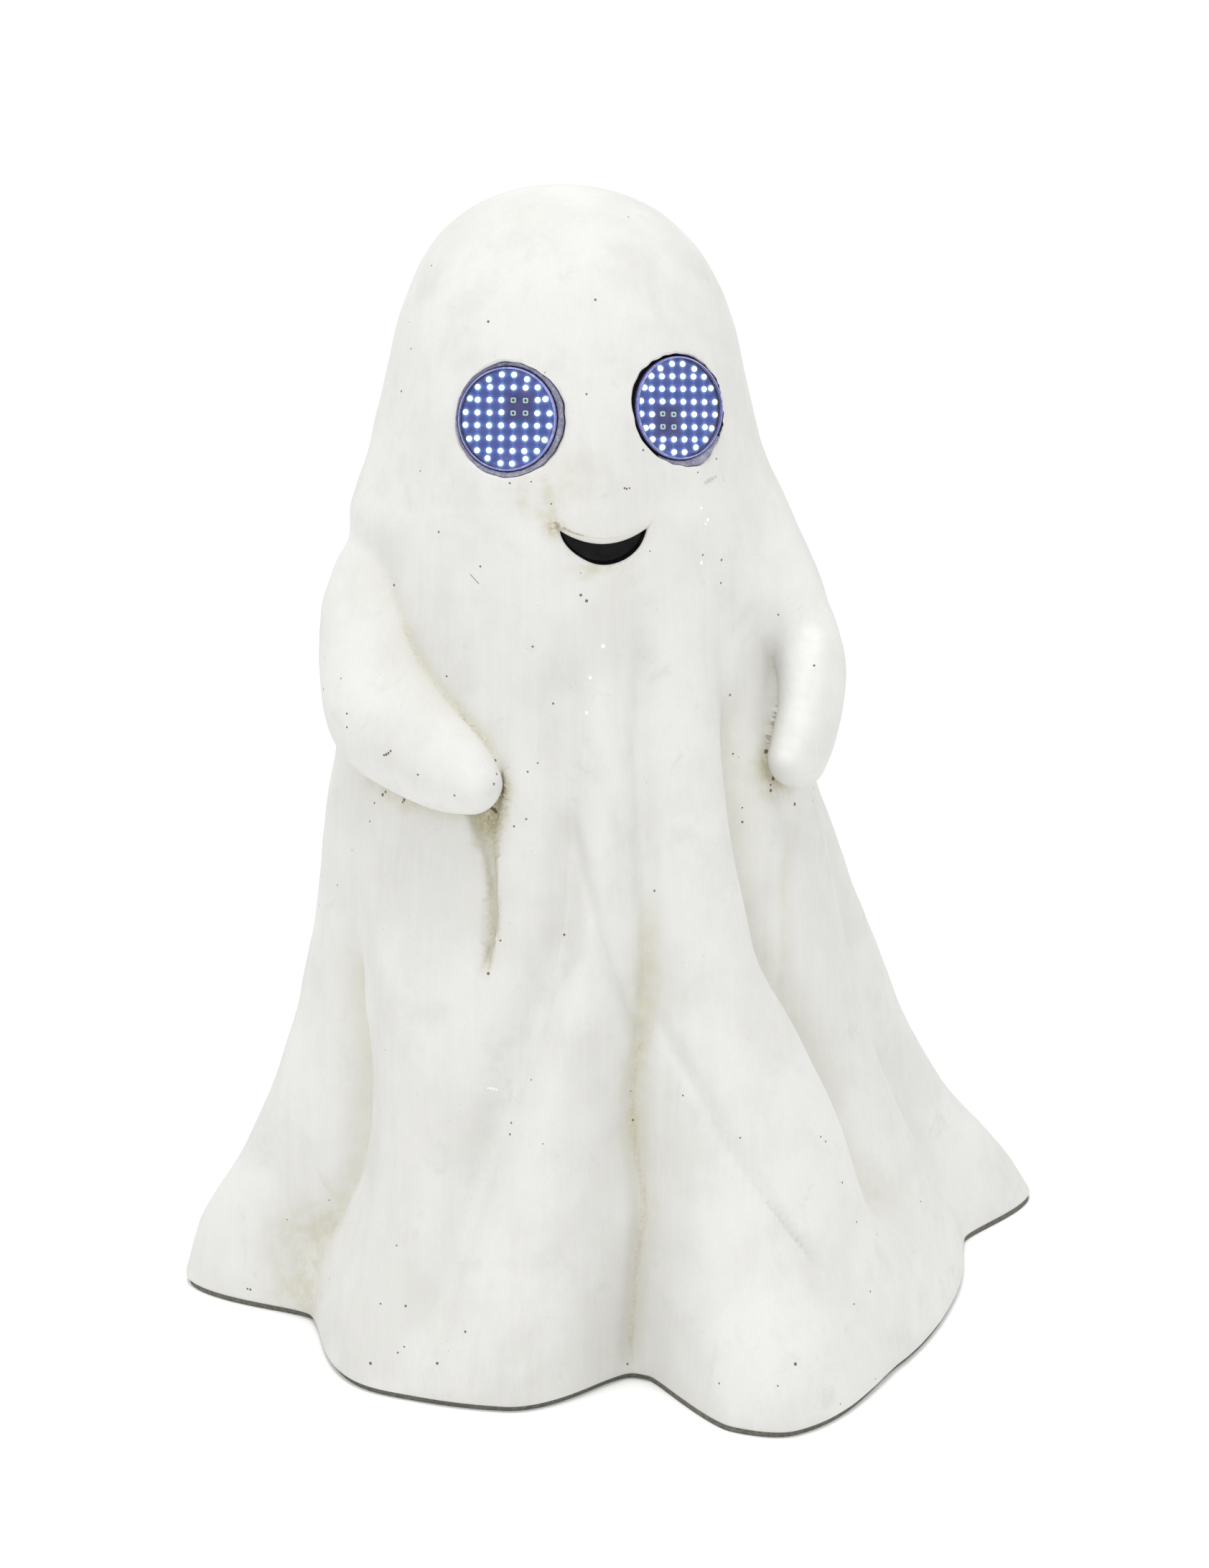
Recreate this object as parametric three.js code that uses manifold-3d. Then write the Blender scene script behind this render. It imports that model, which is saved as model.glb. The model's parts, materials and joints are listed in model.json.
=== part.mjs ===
// Draped ghost figure, hollow magnesia body with two round LED-matrix eyes.
// Millimetres, +Z up, the face looks along -Y, the viewer's right is +X.
import * as THREE from 'three';
import { mergeVertices } from 'three/addons/utils/BufferGeometryUtils.js';
import Module from 'manifold-3d';

// ---------- driving dimensions
const TOP = 476;                 // height of the figure
const WALL = 9.5;                // wall of the moulded body
const WALL_MIN = 7;
const EYE_TILT = 13;      // upward tilt of the eyes
const EYE_POS = { l: [398.7, 29, 23.5], r: [397, -28, -28] };      // eye centre height, azimuth of its place, azimuth it faces
const EYE_R = 20, SOCKET_R = 22.4, BORE_R = 20.45;  // module, socket rim, bore behind the ledge
const LEDGE_D = 4.6;             // socket ledge below the tangent plane
const LED_PITCH = 4.88, LED_SIZE = 2.0, LED_H = 0.9;
const PLATE_Z0 = 4.7, PLATE_Z1 = 7.7, LEDGE_Z = 8.1;   // closing plate under the body
const BAT_PLANE = 100, BAT_RECESS = 3.4, BAT_ZC = 150;                 // flat seat for the battery box at the back
const CELL_R = 7.1, CELL_L = 49.2, CELL_PITCH = 15.6; // AA cells
const SHIFT_X = -32.937, SHIFT_Y = 1.3665;                    // body axis to footprint centre

const wasm = await Module(); wasm.setup();
const rad = Math.PI / 180;

// ---------- smooth tables
function slopes(xs, ys) {
  const n = xs.length, m = new Array(n).fill(0), h = [], d = [];
  for (let i = 0; i < n - 1; i++) { h.push(xs[i + 1] - xs[i]); d.push((ys[i + 1] - ys[i]) / (xs[i + 1] - xs[i])); }
  m[0] = d[0]; m[n - 1] = d[n - 2];
  for (let i = 1; i < n - 1; i++) if (d[i - 1] * d[i] > 0) {
    const w1 = 2 * h[i] + h[i - 1], w2 = h[i] + 2 * h[i - 1];
    m[i] = (w1 + w2) / (w1 / d[i - 1] + w2 / d[i]);
  }
  return m;
}
function table(xs, ys) {
  const m = slopes(xs, ys), n = xs.length;
  return x => {
    x = Math.min(Math.max(x, xs[0]), xs[n - 1]);
    let k = 0; while (k < n - 2 && x >= xs[k + 1]) k++;
    const h = xs[k + 1] - xs[k], t = (x - xs[k]) / h, t2 = t * t, t3 = t2 * t;
    return (2 * t3 - 3 * t2 + 1) * ys[k] + (t3 - 2 * t2 + t) * h * m[k] + (3 * t2 - 2 * t3) * ys[k + 1] + (t3 - t2) * h * m[k + 1];
  };
}
// level: z, centre x, half width across, half depth
const LV = [[0, 8, 122, 100], [60, 8, 117, 100], [110, 7, 113, 99], [150, 6, 109, 98], [200, 5, 103, 95], [230, 4, 98, 92], [262, 3.5, 92.5, 88], [300, 3, 88, 84], [330, 2.5, 85.5, 82], [350, 2, 83.5, 81], [372, 2, 78.6, 78], [395, 2, 73.6, 73], [418, 1.6, 68, 67.5], [436, 1.2, 61.6, 61], [448, .8, 55.5, 55], [458, .5, 47.5, 47], [466, .3, 37.5, 37], [472, .1, 24, 24], [475.2, 0, 10, 10], [476, 0, 0.01, 0.01]];
const LX = table(LV.map(l => l[0]), LV.map(l => l[1])), LA = table(LV.map(l => l[0]), LV.map(l => l[2])), LB = table(LV.map(l => l[0]), LV.map(l => l[3]));
// folds of the sheet: azimuth (degrees) and radial offset at the heights ZR
const ZR = [0, 25, 60, 100, 140, 185, 240, 300];
const RIBS = [
  [[-103, -104, -104, -100, -97, -95, -95, -95], [53, 48.5, 31.5, 16, 6.8, 2, 1, 0]],
  [[-83, -82, -74, -67, -68, -71, -74, -76], [-1, -3, -7, -9, -8, -5, 0, 0]],
  [[-50, -49.5, -49, -48.5, -51, -55, -58, -60], [22, 19.5, 14, 9, 6, 2, 0, 0]],
  [[-42, -41.5, -36.5, -29.5, -22.6, -14, -10.5, -10.4], [21, 15, 6, -1, -4, -5, -4, -2]],
  [[-25, -22.5, -21.5, -18.5, -13, -6.5, -2, -0.5], [20, 18, 12, 7, 4, 2, 1.5, 1]],
  [[2.5, 3.2, 5, 4, 5.8, 8.5, 8.5, 9.5], [-8, -9, -8, -8, -7, -5, -3, -2]],
  [[7, 7.5, 9, 9, 10.5, 12.5, 13, 13.5], [-5, -4, -3, -4, -4, -3, -2, -1.5]],
  [[14, 14, 15.5, 16, 17, 18, 18, 17.5], [48.5, 39.5, 22, 12, 7, 3, 1, 0.5]],
  [[22, 21.5, 25, 26.8, 26.6, 26, 25.5, 24], [62, 55.5, 38, 26, 17, 9, 4, 1.5]],
  [[50, 49, 48, 47, 42, 33.5, 31.5, 31], [43, 40, 31, 22, 12, 5, 1, 0]],
  [[66, 66, 60, 54.5, 50.2, 39, 36.8, 37.5], [41, 33, 17, 3, -4, -7, -5, -3]],
  [[85, 83, 80, 78, 77, 74, 70, 66], [46, 41, 29, 16, 8, 4, 2, 0]],
  [[94.5, 94, 92, 90, 89, 88, 88, 88], [55, 44, 26, 10, 2, 0, 0, 0]],
  [[106.5, 107, 108, 106, 103, 101, 100, 100], [109.5, 95.5, 68.5, 45.5, 30.5, 17, 5, 0]],
  [[135, 135, 135, 134, 132, 130, 128, 128], [40, 30, 14, 2, -3, -4, -3, -1]],
  [[152, 152, 152, 151, 150, 150, 150, 150], [66, 58, 40, 24, 12, 5, 1, 0]],
  [[170, 170, 170, 169, 168, 168, 168, 168], [24, 16, 6, -2, -5, -5, -3, -1]],
  [[190, 190, 190, 189, 188, 188, 188, 188], [50, 43, 28, 16, 8, 3, 0, 0]],
  [[207, 207, 207, 207, 207, 207, 207, 207], [20, 12, 3, -3, -5, -5, -3, -1]],
  [[225, 225, 225, 226, 227, 228, 228, 228], [58, 51, 36, 22, 11, 4, 0, 0]],
  [[240, 240, 241, 243, 244, 245, 246, 246], [22, 14, 5, -2, -4, -4, -2, 0]],
].map(r => [table(ZR, r[0]), table(ZR, r[1])]);
// creases: heights, azimuths, depth, softness on either side (mm)
const CREASES = [
  [[34, 60, 78, 103, 122, 135, 151, 170], [-81.5, -73.4, -69.4, -67, -66.5, -67.7, -69.8, -70], 4, 8, 5],
  [[60, 87, 113, 140, 169, 206, 250, 300], [-36, -31.8, -26.9, -22.6, -16.6, -11.2, -10.5, -10.4], 2.5, 8, 6],
  [[13, 31, 50, 74, 101, 124, 143, 155, 193, 229, 260, 309], [2.4, 3.3, 3.4, 6, 5.1, 3.7, 6.3, 9.7, 9.1, 8.9, 7.9, 10.7], 3, 5, 5],
  [[54, 75, 90, 103, 125, 137, 152, 172, 186, 222, 265, 277], [61.5, 56.6, 54.1, 54.7, 52.6, 50.7, 47.7, 41.4, 38.6, 35.7, 35.7, 38.4], 4, 4.5, 10],
  [[180, 196, 206, 222, 241, 254], [-31.5, -29.9, -29.4, -30.1, -30.6, -30.6], 4, 5, 5],
].map(s => ({ z0: s[0][0], z1: s[0][s[0].length - 1], az: table(s[0], s[1]), d: s[2], wl: s[3], wr: s[4] }));
// the sheet lifted by the arms: azimuth, height, lift, spread round and up
const BULGES = [[92, 316, 8, 30, 30], [104, 268, 5, 26, 36], [-112, 305, 9, 28, 34], [-118, 265, 5, 26, 36]];
const sstep = (a, b, x) => { const t = Math.min(Math.max((x - a) / (b - a), 0), 1); return t * t * (3 - 2 * t); };
const ribCache = new Map();
function ribs(th, z) {
  const zc = Math.min(Math.max(z, 0), 300);
  let f = ribCache.get(zc);
  if (!f) {
    const T = RIBS.map(r => r[0](zc)), D = RIBS.map(r => r[1](zc)), n = T.length;
    const xs = [T[n - 2] - 360, T[n - 1] - 360, ...T, T[0] + 360, T[1] + 360];
    const ys = [D[n - 2], D[n - 1], ...D, D[0], D[1]];
    f = { t: table(xs, ys), t0: T[0] }; ribCache.set(zc, f);
  }
  const t = ((th - f.t0) % 360 + 360) % 360 + f.t0;
  return f.t(t) * (z <= 300 ? 1 : Math.max(0, 1 - (z - 300) / 40));
}
// mesh columns that run along the folds; share = columns per fold interval
const COLS = [5, 6, 3, 3, 5, 1, 2, 2, 5, 3, 4, 3, 4, 5, 4, 4, 4, 4, 4, 3, 4];
function columns(z, share = 1) {
  const T = RIBS.map(r => r[0](Math.min(Math.max(z, 0), 300))), out = [];
  T.push(T[0] + 360);
  COLS.forEach((n, k) => { const m = Math.max(1, Math.round(n * share)); for (let i = 0; i < m; i++) out.push(T[k] + (T[k + 1] - T[k]) * i / m); });
  return out;
}
function ellipse(th, z, off = 0) {
  const s = Math.sin(th * rad), c = Math.cos(th * rad), a = LA(z) + off, b = LB(z) + off;
  return 1 / Math.sqrt((s / a) ** 2 + (c / b) ** 2);
}
function radius(th, z) {
  let r = ellipse(th, z) + ribs(th, z);
  for (const s of CREASES) {
    const f = sstep(s.z0 - 14, s.z0 + 10, z) * (1 - sstep(s.z1 - 10, s.z1 + 14, z));
    if (f <= 0) continue;
    let d = ((th - s.az(z) + 540) % 360 - 180) * rad * r;
    r -= f * s.d * Math.exp(-((d / (d < 0 ? s.wl : s.wr)) ** 2));
  }
  for (const [a, zc, d, wa, wz] of BULGES) {
    const u = ((th - a + 540) % 360 - 180) * rad * r;
    r += d * Math.exp(-((u / wa) ** 2) - ((z - zc) / wz) ** 2);
  }
  // flat seat for the battery box on the back
  const back = ((th + 720) % 360) - 180;
  if (Math.abs(back) < 60) {
    const f = BAT_PLANE + BAT_RECESS, u = f * Math.tan(back * rad), w = (1 - sstep(51, 74, Math.abs(u))) * (1 - sstep(50, 72, Math.abs(z - (BAT_ZC + 6))));
    r += (f / Math.cos(back * rad) - r) * w;
  }
  // rolled lip at the hem
  if (z < 4) r -= 2.6 * (1 - z / 4) ** 2;
  return r;
}
function inner(th, z) {
  // the wall is kept clear of the steep flanks of the folds
  const e = ellipse(th, Math.min(z + 3, TOP - 1)), r = Math.min(...[-7, -3.5, 0, 3.5, 7].map(d => ribs(th + d, z)));
  return Math.min(e + r - WALL, radius(th, z) - WALL_MIN);
}
// closed body from rings of radii; bottom and top closed by fans
function rings(levels, share, rf, topPoint) {
  const V = [], T = [], n = columns(0, share).length;
  for (const z of levels) for (const th of columns(z, share)) {
    const r = rf(th, z), cx = LX(z);
    V.push(cx + r * Math.sin(th * rad), -r * Math.cos(th * rad), z);
  }
  const L = levels.length, z0 = levels[0], z1 = levels[L - 1];
  V.push(LX(z0), 0, z0); V.push(LX(z1), 0, topPoint ?? z1);
  const b = L * n, t = b + 1;
  for (let k = 0; k < L - 1; k++) for (let i = 0; i < n; i++) {
    const a = k * n + i, c = k * n + (i + 1) % n, d = a + n, e = c + n;
    T.push(a, c, e, a, e, d);
  }
  for (let i = 0; i < n; i++) { T.push(b, (i + 1) % n, i); T.push(t, (L - 1) * n + i, (L - 1) * n + (i + 1) % n); }
  return new wasm.Manifold(new wasm.Mesh({ numProp: 3, vertProperties: new Float32Array(V), triVerts: new Uint32Array(T) }));
}
// ---------- three <-> manifold
function man(g) {
  g = g.clone(); g.deleteAttribute('normal'); g.deleteAttribute('uv');
  g = mergeVertices(g, 1e-4);
  return new wasm.Manifold(new wasm.Mesh({ numProp: 3, vertProperties: new Float32Array(g.attributes.position.array), triVerts: new Uint32Array(g.index.array) }));
}
function geo(m) {
  const q = m.getMesh(), g = new THREE.BufferGeometry(), P = new Float32Array(q.numVert * 3);
  for (let i = 0; i < q.numVert; i++) for (let k = 0; k < 3; k++) P[3 * i + k] = q.vertProperties[i * q.numProp + k];
  g.setAttribute('position', new THREE.BufferAttribute(P, 3));
  g.setIndex(new THREE.BufferAttribute(new Uint32Array(q.triVerts), 1));
  g.computeVertexNormals();
  return g;
}
const union = (...m) => m.reduce((a, b) => a.add(b));
const box = (x0, x1, y0, y1, z0, z1) => { const g = new THREE.BoxGeometry(x1 - x0, y1 - y0, z1 - z0); g.translate((x0 + x1) / 2, (y0 + y1) / 2, (z0 + z1) / 2); return g; };
// solid of revolution about local z, profile [radius, height] closed on the axis
const turn = (pts, n = 24) => { const g = new THREE.LatheGeometry(pts.map(p => new THREE.Vector2(p[0], p[1])), n); g.rotateX(Math.PI / 2); return g; };
const disc = (r, z0, z1, n = 32) => turn([[0, z0], [r, z0], [r, z1], [0, z1]], n);
const ring = (r0, r1, z0, z1, n = 32) => turn([[r0, z0], [r1, z0], [r1, z1], [r0, z1], [r0, z0]], n);
const at = (g, m) => { const q = g.clone(); q.applyMatrix4(m); return q; };
const T3 = (x, y, z) => new THREE.Matrix4().makeTranslation(x, y, z);

const part = new THREE.Group(); part.name = 'magnesia_ghost';
const mats = {
  magnesia: [0xe9e8e4, 0.86, 0], black: [0x17181b, 0.45, 0], clear: [0xb9c4f2, 0.08, 0], pcb: [0x1b2a6b, 0.55, 0], foam: [0x8f90a0, 0.95, 0],
  steel: [0xb8bbc0, 0.3, 1], nickel: [0xc9c7bd, 0.28, 1], white: [0xdedcd4, 0.6, 0], cell: [0x3c6b45, 0.4, 0.1], green: [0x1f5b3a, 0.5, 0], lead: [0x23252b, 0.6, 0],
};
function add(name, g, mat) {
  const [c, r, m] = mats[mat];
  const material = new THREE.MeshStandardMaterial({ color: c, roughness: r, metalness: m }); material.name = mat;
  if (!(g instanceof THREE.BufferGeometry)) g = geo(g);
  g = g.clone(); g.translate(SHIFT_X, SHIFT_Y, 0);
  const o = new THREE.Mesh(g, material); o.name = name; part.add(o); return o;
}
// tube along points, flat ends
function tube(points, r, steps, sides = 8) {
  const path = new THREE.CatmullRomCurve3(points.map(p => new THREE.Vector3(...p)), false, 'centripetal');
  const s = new THREE.Shape(); for (let i = 0; i < sides; i++) { const a = 2 * Math.PI * i / sides; i ? s.lineTo(r * Math.cos(a), r * Math.sin(a)) : s.moveTo(r, 0); } s.closePath();
  return new THREE.ExtrudeGeometry(s, { steps, extrudePath: path, bevelEnabled: false });
}

// ---------- body
const OUT_Z = [0, 1.6, 4, 14, 26, 42, 60, 78, 94, 106, 122, 138, 156, 172, 190, 206, 218, 234, 250, 268, 286, 304, 322, 340, 356, 372, 390, 407, 421, 433, 443, 451, 458, 464, 469.5, 474];
let body = rings(OUT_Z, 1, radius, TOP);
// arms under the sheet: x, y, z, radius
const ARM_R = [[-65, -8, 354, 5.5], [-72, -12, 339, 13], [-75.9, -16.7, 323, 19.4], [-78.1, -22.2, 308.7, 22.5], [-77.9, -28.4, 296.6, 24.4], [-76.8, -35.6, 285.5, 25.4], [-75, -43.6, 276.3, 25.7], [-69.5, -52, 269.8, 23.9], [-62.6, -60.9, 264.6, 21], [-55.4, -69.7, 259.9, 17.1], [-49.3, -78.3, 255.9, 12]];
const ARM_L = [[58, -12, 354, 4.5], [71.5, -20, 337, 10], [84.4, -31, 318, 13.6], [90.8, -41.5, 300, 14.6], [93.4, -48, 286, 14], [92.3, -52.5, 273.3, 13.2], [89.2, -56.1, 262.6, 12.8], [85.5, -59, 253.3, 11.9]];
function limb(A) {
  const n = A.length, s = A.map((_, i) => i), f = [0, 1, 2, 3].map(k => table(s, A.map(a => a[k])));
  const m = 15, sides = 14, C = [];
  for (let i = 0; i <= m; i++) { const q = i / m * (n - 1); C.push(f.map(g => g(q))); }
  const V = [], T = []; let u = new THREE.Vector3(0, 1, 0);
  const ringsOf = [];
  const push = (c, t, r) => {
    const w = u.clone().addScaledVector(t, -u.dot(t)).normalize(); u = w.clone(); const v = new THREE.Vector3().crossVectors(t, w);
    ringsOf.push(V.length / 3);
    for (let k = 0; k < sides; k++) { const a = 2 * Math.PI * k / sides; const p = c.clone().addScaledVector(w, r * Math.cos(a)).addScaledVector(v, r * Math.sin(a)); V.push(p.x, p.y, p.z); }
  };
  for (let i = 0; i <= m; i++) {
    const c = new THREE.Vector3(...C[i]), p = new THREE.Vector3(...C[Math.max(i - 1, 0)]), q = new THREE.Vector3(...C[Math.min(i + 1, m)]), t = q.sub(p).normalize(), r = C[i][3];
    if (i === 0) for (const a of [80, 50, 25]) push(c.clone().addScaledVector(t, -r * Math.sin(a * rad)), t, r * Math.cos(a * rad));
    push(c, t, r);
    if (i === m) for (const a of [25, 50, 75]) push(c.clone().addScaledVector(t, r * Math.sin(a * rad)), t, r * Math.cos(a * rad));
  }
  const R = ringsOf.length;
  for (let k = 0; k < R - 1; k++) for (let i = 0; i < sides; i++) { const a = k * sides + i, b = k * sides + (i + 1) % sides; T.push(a, b, b + sides, a, b + sides, a + sides); }
  for (let i = 1; i < sides - 1; i++) { T.push(0, i + 1, i); const o = (R - 1) * sides; T.push(o, o + i, o + i + 1); }
  return new wasm.Manifold(new wasm.Mesh({ numProp: 3, vertProperties: new Float32Array(V), triVerts: new Uint32Array(T) }));
}
body = union(body, limb(ARM_R), limb(ARM_L));
// hollow
const IN_Z = [-1, 25, 50, 80, 115, 150, 190, 230, 270, 310, 345, 372, 398, 420, 438, 452, 463];
body = body.subtract(rings(IN_Z, 0.55, inner));
// step that the closing plate lies against
const seatR = (th) => inner(th, 8) + 3;
body = body.subtract(rings([-1, LEDGE_Z], 1, th => seatR(th)));
// eyes: local frame x right, y up, z out of the head
function eyeFrame(k) {
  const [z, at0, face] = EYE_POS[k], r = radius(at0, z), s = Math.sin(face * rad), c = Math.cos(face * rad), se = Math.sin(EYE_TILT * rad), ce = Math.cos(EYE_TILT * rad);
  const o = new THREE.Vector3(LX(z) + r * Math.sin(at0 * rad), -r * Math.cos(at0 * rad), z), n = new THREE.Vector3(s * ce, -c * ce, se), x = new THREE.Vector3(c, s, 0), y = new THREE.Vector3().crossVectors(n, x);
  return new THREE.Matrix4().makeBasis(x, y, n).setPosition(o);
}
const EYES = { l: eyeFrame('l'), r: eyeFrame('r') };   // the figure's own left and right
for (const k of ['l', 'r']) {
  body = body.subtract(man(at(disc(SOCKET_R, -LEDGE_D, 14, 40), EYES[k])));
  body = body.subtract(man(at(disc(BORE_R, -26, 0, 32), EYES[k])));
  body = body.subtract(man(at(disc(23.9, -30, -16.2, 32), EYES[k])));   // flat that the back plate lies on
}
// mouth: crescent recess with a level floor
{
  const s = new THREE.Shape();
  s.moveTo(-16.5, 359.2); s.quadraticCurveTo(3, 346, 23, 357.6); s.quadraticCurveTo(20, 346, 12, 342.8); s.quadraticCurveTo(3.5, 339.4, -4, 343.2); s.quadraticCurveTo(-13, 347, -16.5, 359.2);
  const g = new THREE.ExtrudeGeometry(s, { depth: 20, bevelEnabled: false, curveSegments: 6 });
  g.rotateX(Math.PI / 2); g.translate(0, -76, 0);
  body = body.subtract(man(g));
}
// opening for the battery box and pilot holes for its flange screws
body = body.subtract(man(box(-30, 42, 60, 120, BAT_ZC - 30, BAT_ZC + 42)));
body = body.subtract(man(box(-37.6, 49.6, BAT_PLANE, 120, BAT_ZC - 36.6, BAT_ZC + 48.6)));
const FL_SCREWS = [[-33.5, -33], [45.5, -33], [-33.5, 45], [45.5, 45]].map(p => [p[0], BAT_ZC + p[1]]);
const alongY = (y) => new THREE.Matrix4().makeBasis(new THREE.Vector3(-1, 0, 0), new THREE.Vector3(0, 0, 1), new THREE.Vector3(0, 1, 0)).setPosition(0, y, 0);
const hole = (x, z, r, y0, y1, n = 12) => man(at(disc(r, 0, y1 - y0, n), T3(x, 0, z).multiply(alongY(y0))));
for (const [x, z] of FL_SCREWS) body = body.subtract(hole(x, z, 1.5, BAT_PLANE - 8, BAT_PLANE + 5, 10));
// bosses that take the plate screws
const PLATE_SCREWS = [-105, -45, 30, 80, 150, 190, 225].map(th => { const r = inner(th, 8) - 4; return [LX(8) + r * Math.sin(th * rad), -r * Math.cos(th * rad)]; });
for (const [x, y] of PLATE_SCREWS) {
  body = body.add(man(at(disc(6.5, LEDGE_Z, 24, 16), T3(x, y, 0))));
  body = body.subtract(man(at(disc(1.5, 2, 18, 10), T3(x, y, 0))));
}
body = body.simplify ? body.simplify(0.02) : body;
add('body_shell', body, 'magnesia');

// ---------- closing plate
{
  let p = rings([PLATE_Z0, PLATE_Z1], 1, th => seatR(th) - 0.5);
  for (const [x, y] of PLATE_SCREWS) p = p.subtract(man(at(disc(1.5, 0, 12, 10), T3(x, y, 0))));
  add('base_plate', p, 'white');
  PLATE_SCREWS.forEach(([x, y], i) => add('base_screw_' + (i + 1), at(turn([[0, 2.6], [2.6, 3.0], [2.8, 4.35], [1.15, 4.4], [1.15, 14.2], [0, 15]], 10), T3(x, y, 0)), 'steel'));
}

// ---------- eye modules
const LEDS = [];
for (let i = 0; i < 6; i++) for (let j = 0; j < 6; j++) LEDS.push([i - 2.5, j - 2.5]);
for (const s of [-1, 1]) for (const q of [-1, 1]) LEDS.push([s * 0.5, q * 3.5], [s * 1.6, q * 3.12], [s * 3.5, q * 0.5], [s * 3.15, q * 1.6]);
const EYE_SCREWS = [90, 210, 330].map(a => [14.5 * Math.cos(a * rad), 14.5 * Math.sin(a * rad)]);
for (const [k, F] of Object.entries(EYES)) {
  let cup = man(turn([[0, -16.0], [EYE_R, -16.0], [EYE_R, -3.3], [18.9, -3.3], [18.9, -8.9], [17.4, -8.9], [17.4, -12.0], [0, -12.0]], 32));
  cup = cup.subtract(man(disc(2.6, -20, -10, 16)));
  for (const [x, y] of EYE_SCREWS) cup = cup.subtract(man(at(disc(1.4, -20, -13, 10), T3(x, y, 0))));
  add(`eye_${k}_housing`, man(at(geo(cup), F)), 'black');
  add(`eye_${k}_window`, at(turn([[0, -3.0], [19.4, -3.0], [19.9, -2.6], [19.9, -1.7], [19.3, -1.2], [0, -1.0]], 32), F), 'clear');
  add(`eye_${k}_gasket`, at(turn([[20.35, -4.3], [22.1, -4.3], [22.1, -2.6], [21.2, -2.2], [20.35, -2.6], [20.35, -4.3]], 32), F), 'foam');
  let board = man(disc(18.5, -8.6, -7.0, 32));
  for (const [i, j] of LEDS) { const x = i * LED_PITCH, y = j * LED_PITCH, h = LED_SIZE / 2; board = board.add(man(box(x - h, x + h, y - h, y + h, -7.3, -7.0 + LED_H))); }
  add(`eye_${k}_led_board`, man(at(geo(board), F)), 'pcb');
  let back = man(disc(23.4, -18.4, -16.3, 32)).subtract(man(disc(2.6, -20, -15, 16)));
  for (const [x, y] of EYE_SCREWS) back = back.subtract(man(at(disc(1.4, -20, -15, 10), T3(x, y, 0))));
  add(`eye_${k}_back_plate`, man(at(geo(back), F)), 'black');
  EYE_SCREWS.forEach(([x, y], i) => add(`eye_${k}_screw_${i + 1}`, at(at(turn([[0, -20.4], [2.1, -20.1], [2.3, -18.75], [1.0, -18.7], [1.0, -13.6], [0, -13.3]], 10), T3(x, y, 0)), F), 'steel'));
}

// ---------- battery box: x across, z up, y outwards through the back
const XC = 6;                    // box centre across
const zb = BAT_ZC;
const F0 = BAT_PLANE + 0.3, G1 = F0 + 1.2, FL0 = G1 + 0.3, FL1 = FL0 + 2.4, D0 = FL1 + 0.4, D1 = D0 + 2.2;
const HX0 = XC - 43, HX1 = XC + 43, HZ0 = zb - 36, HZ1 = zb + 48;
{
  let g = man(box(HX0, HX1, F0, G1, HZ0, HZ1)).subtract(man(box(XC - 36, XC + 36, F0 - 1, G1 + 1, zb - 30, zb + 42)));
  for (const [x, z] of FL_SCREWS) g = g.subtract(hole(x, z, 1.5, F0 - 1, G1 + 1, 10));
  add('battery_gasket', g, 'foam');
}
const TX0 = XC - 34, TX1 = XC + 34, TZ0 = zb - 28, TZ1 = zb + 28, TY0 = FL0 - 24;
const HINGE_X = XC - 36.5, HINGE_Y = FL1 + 2.3, HINGE_R = 2.0, PIN_R = 0.8;
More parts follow.
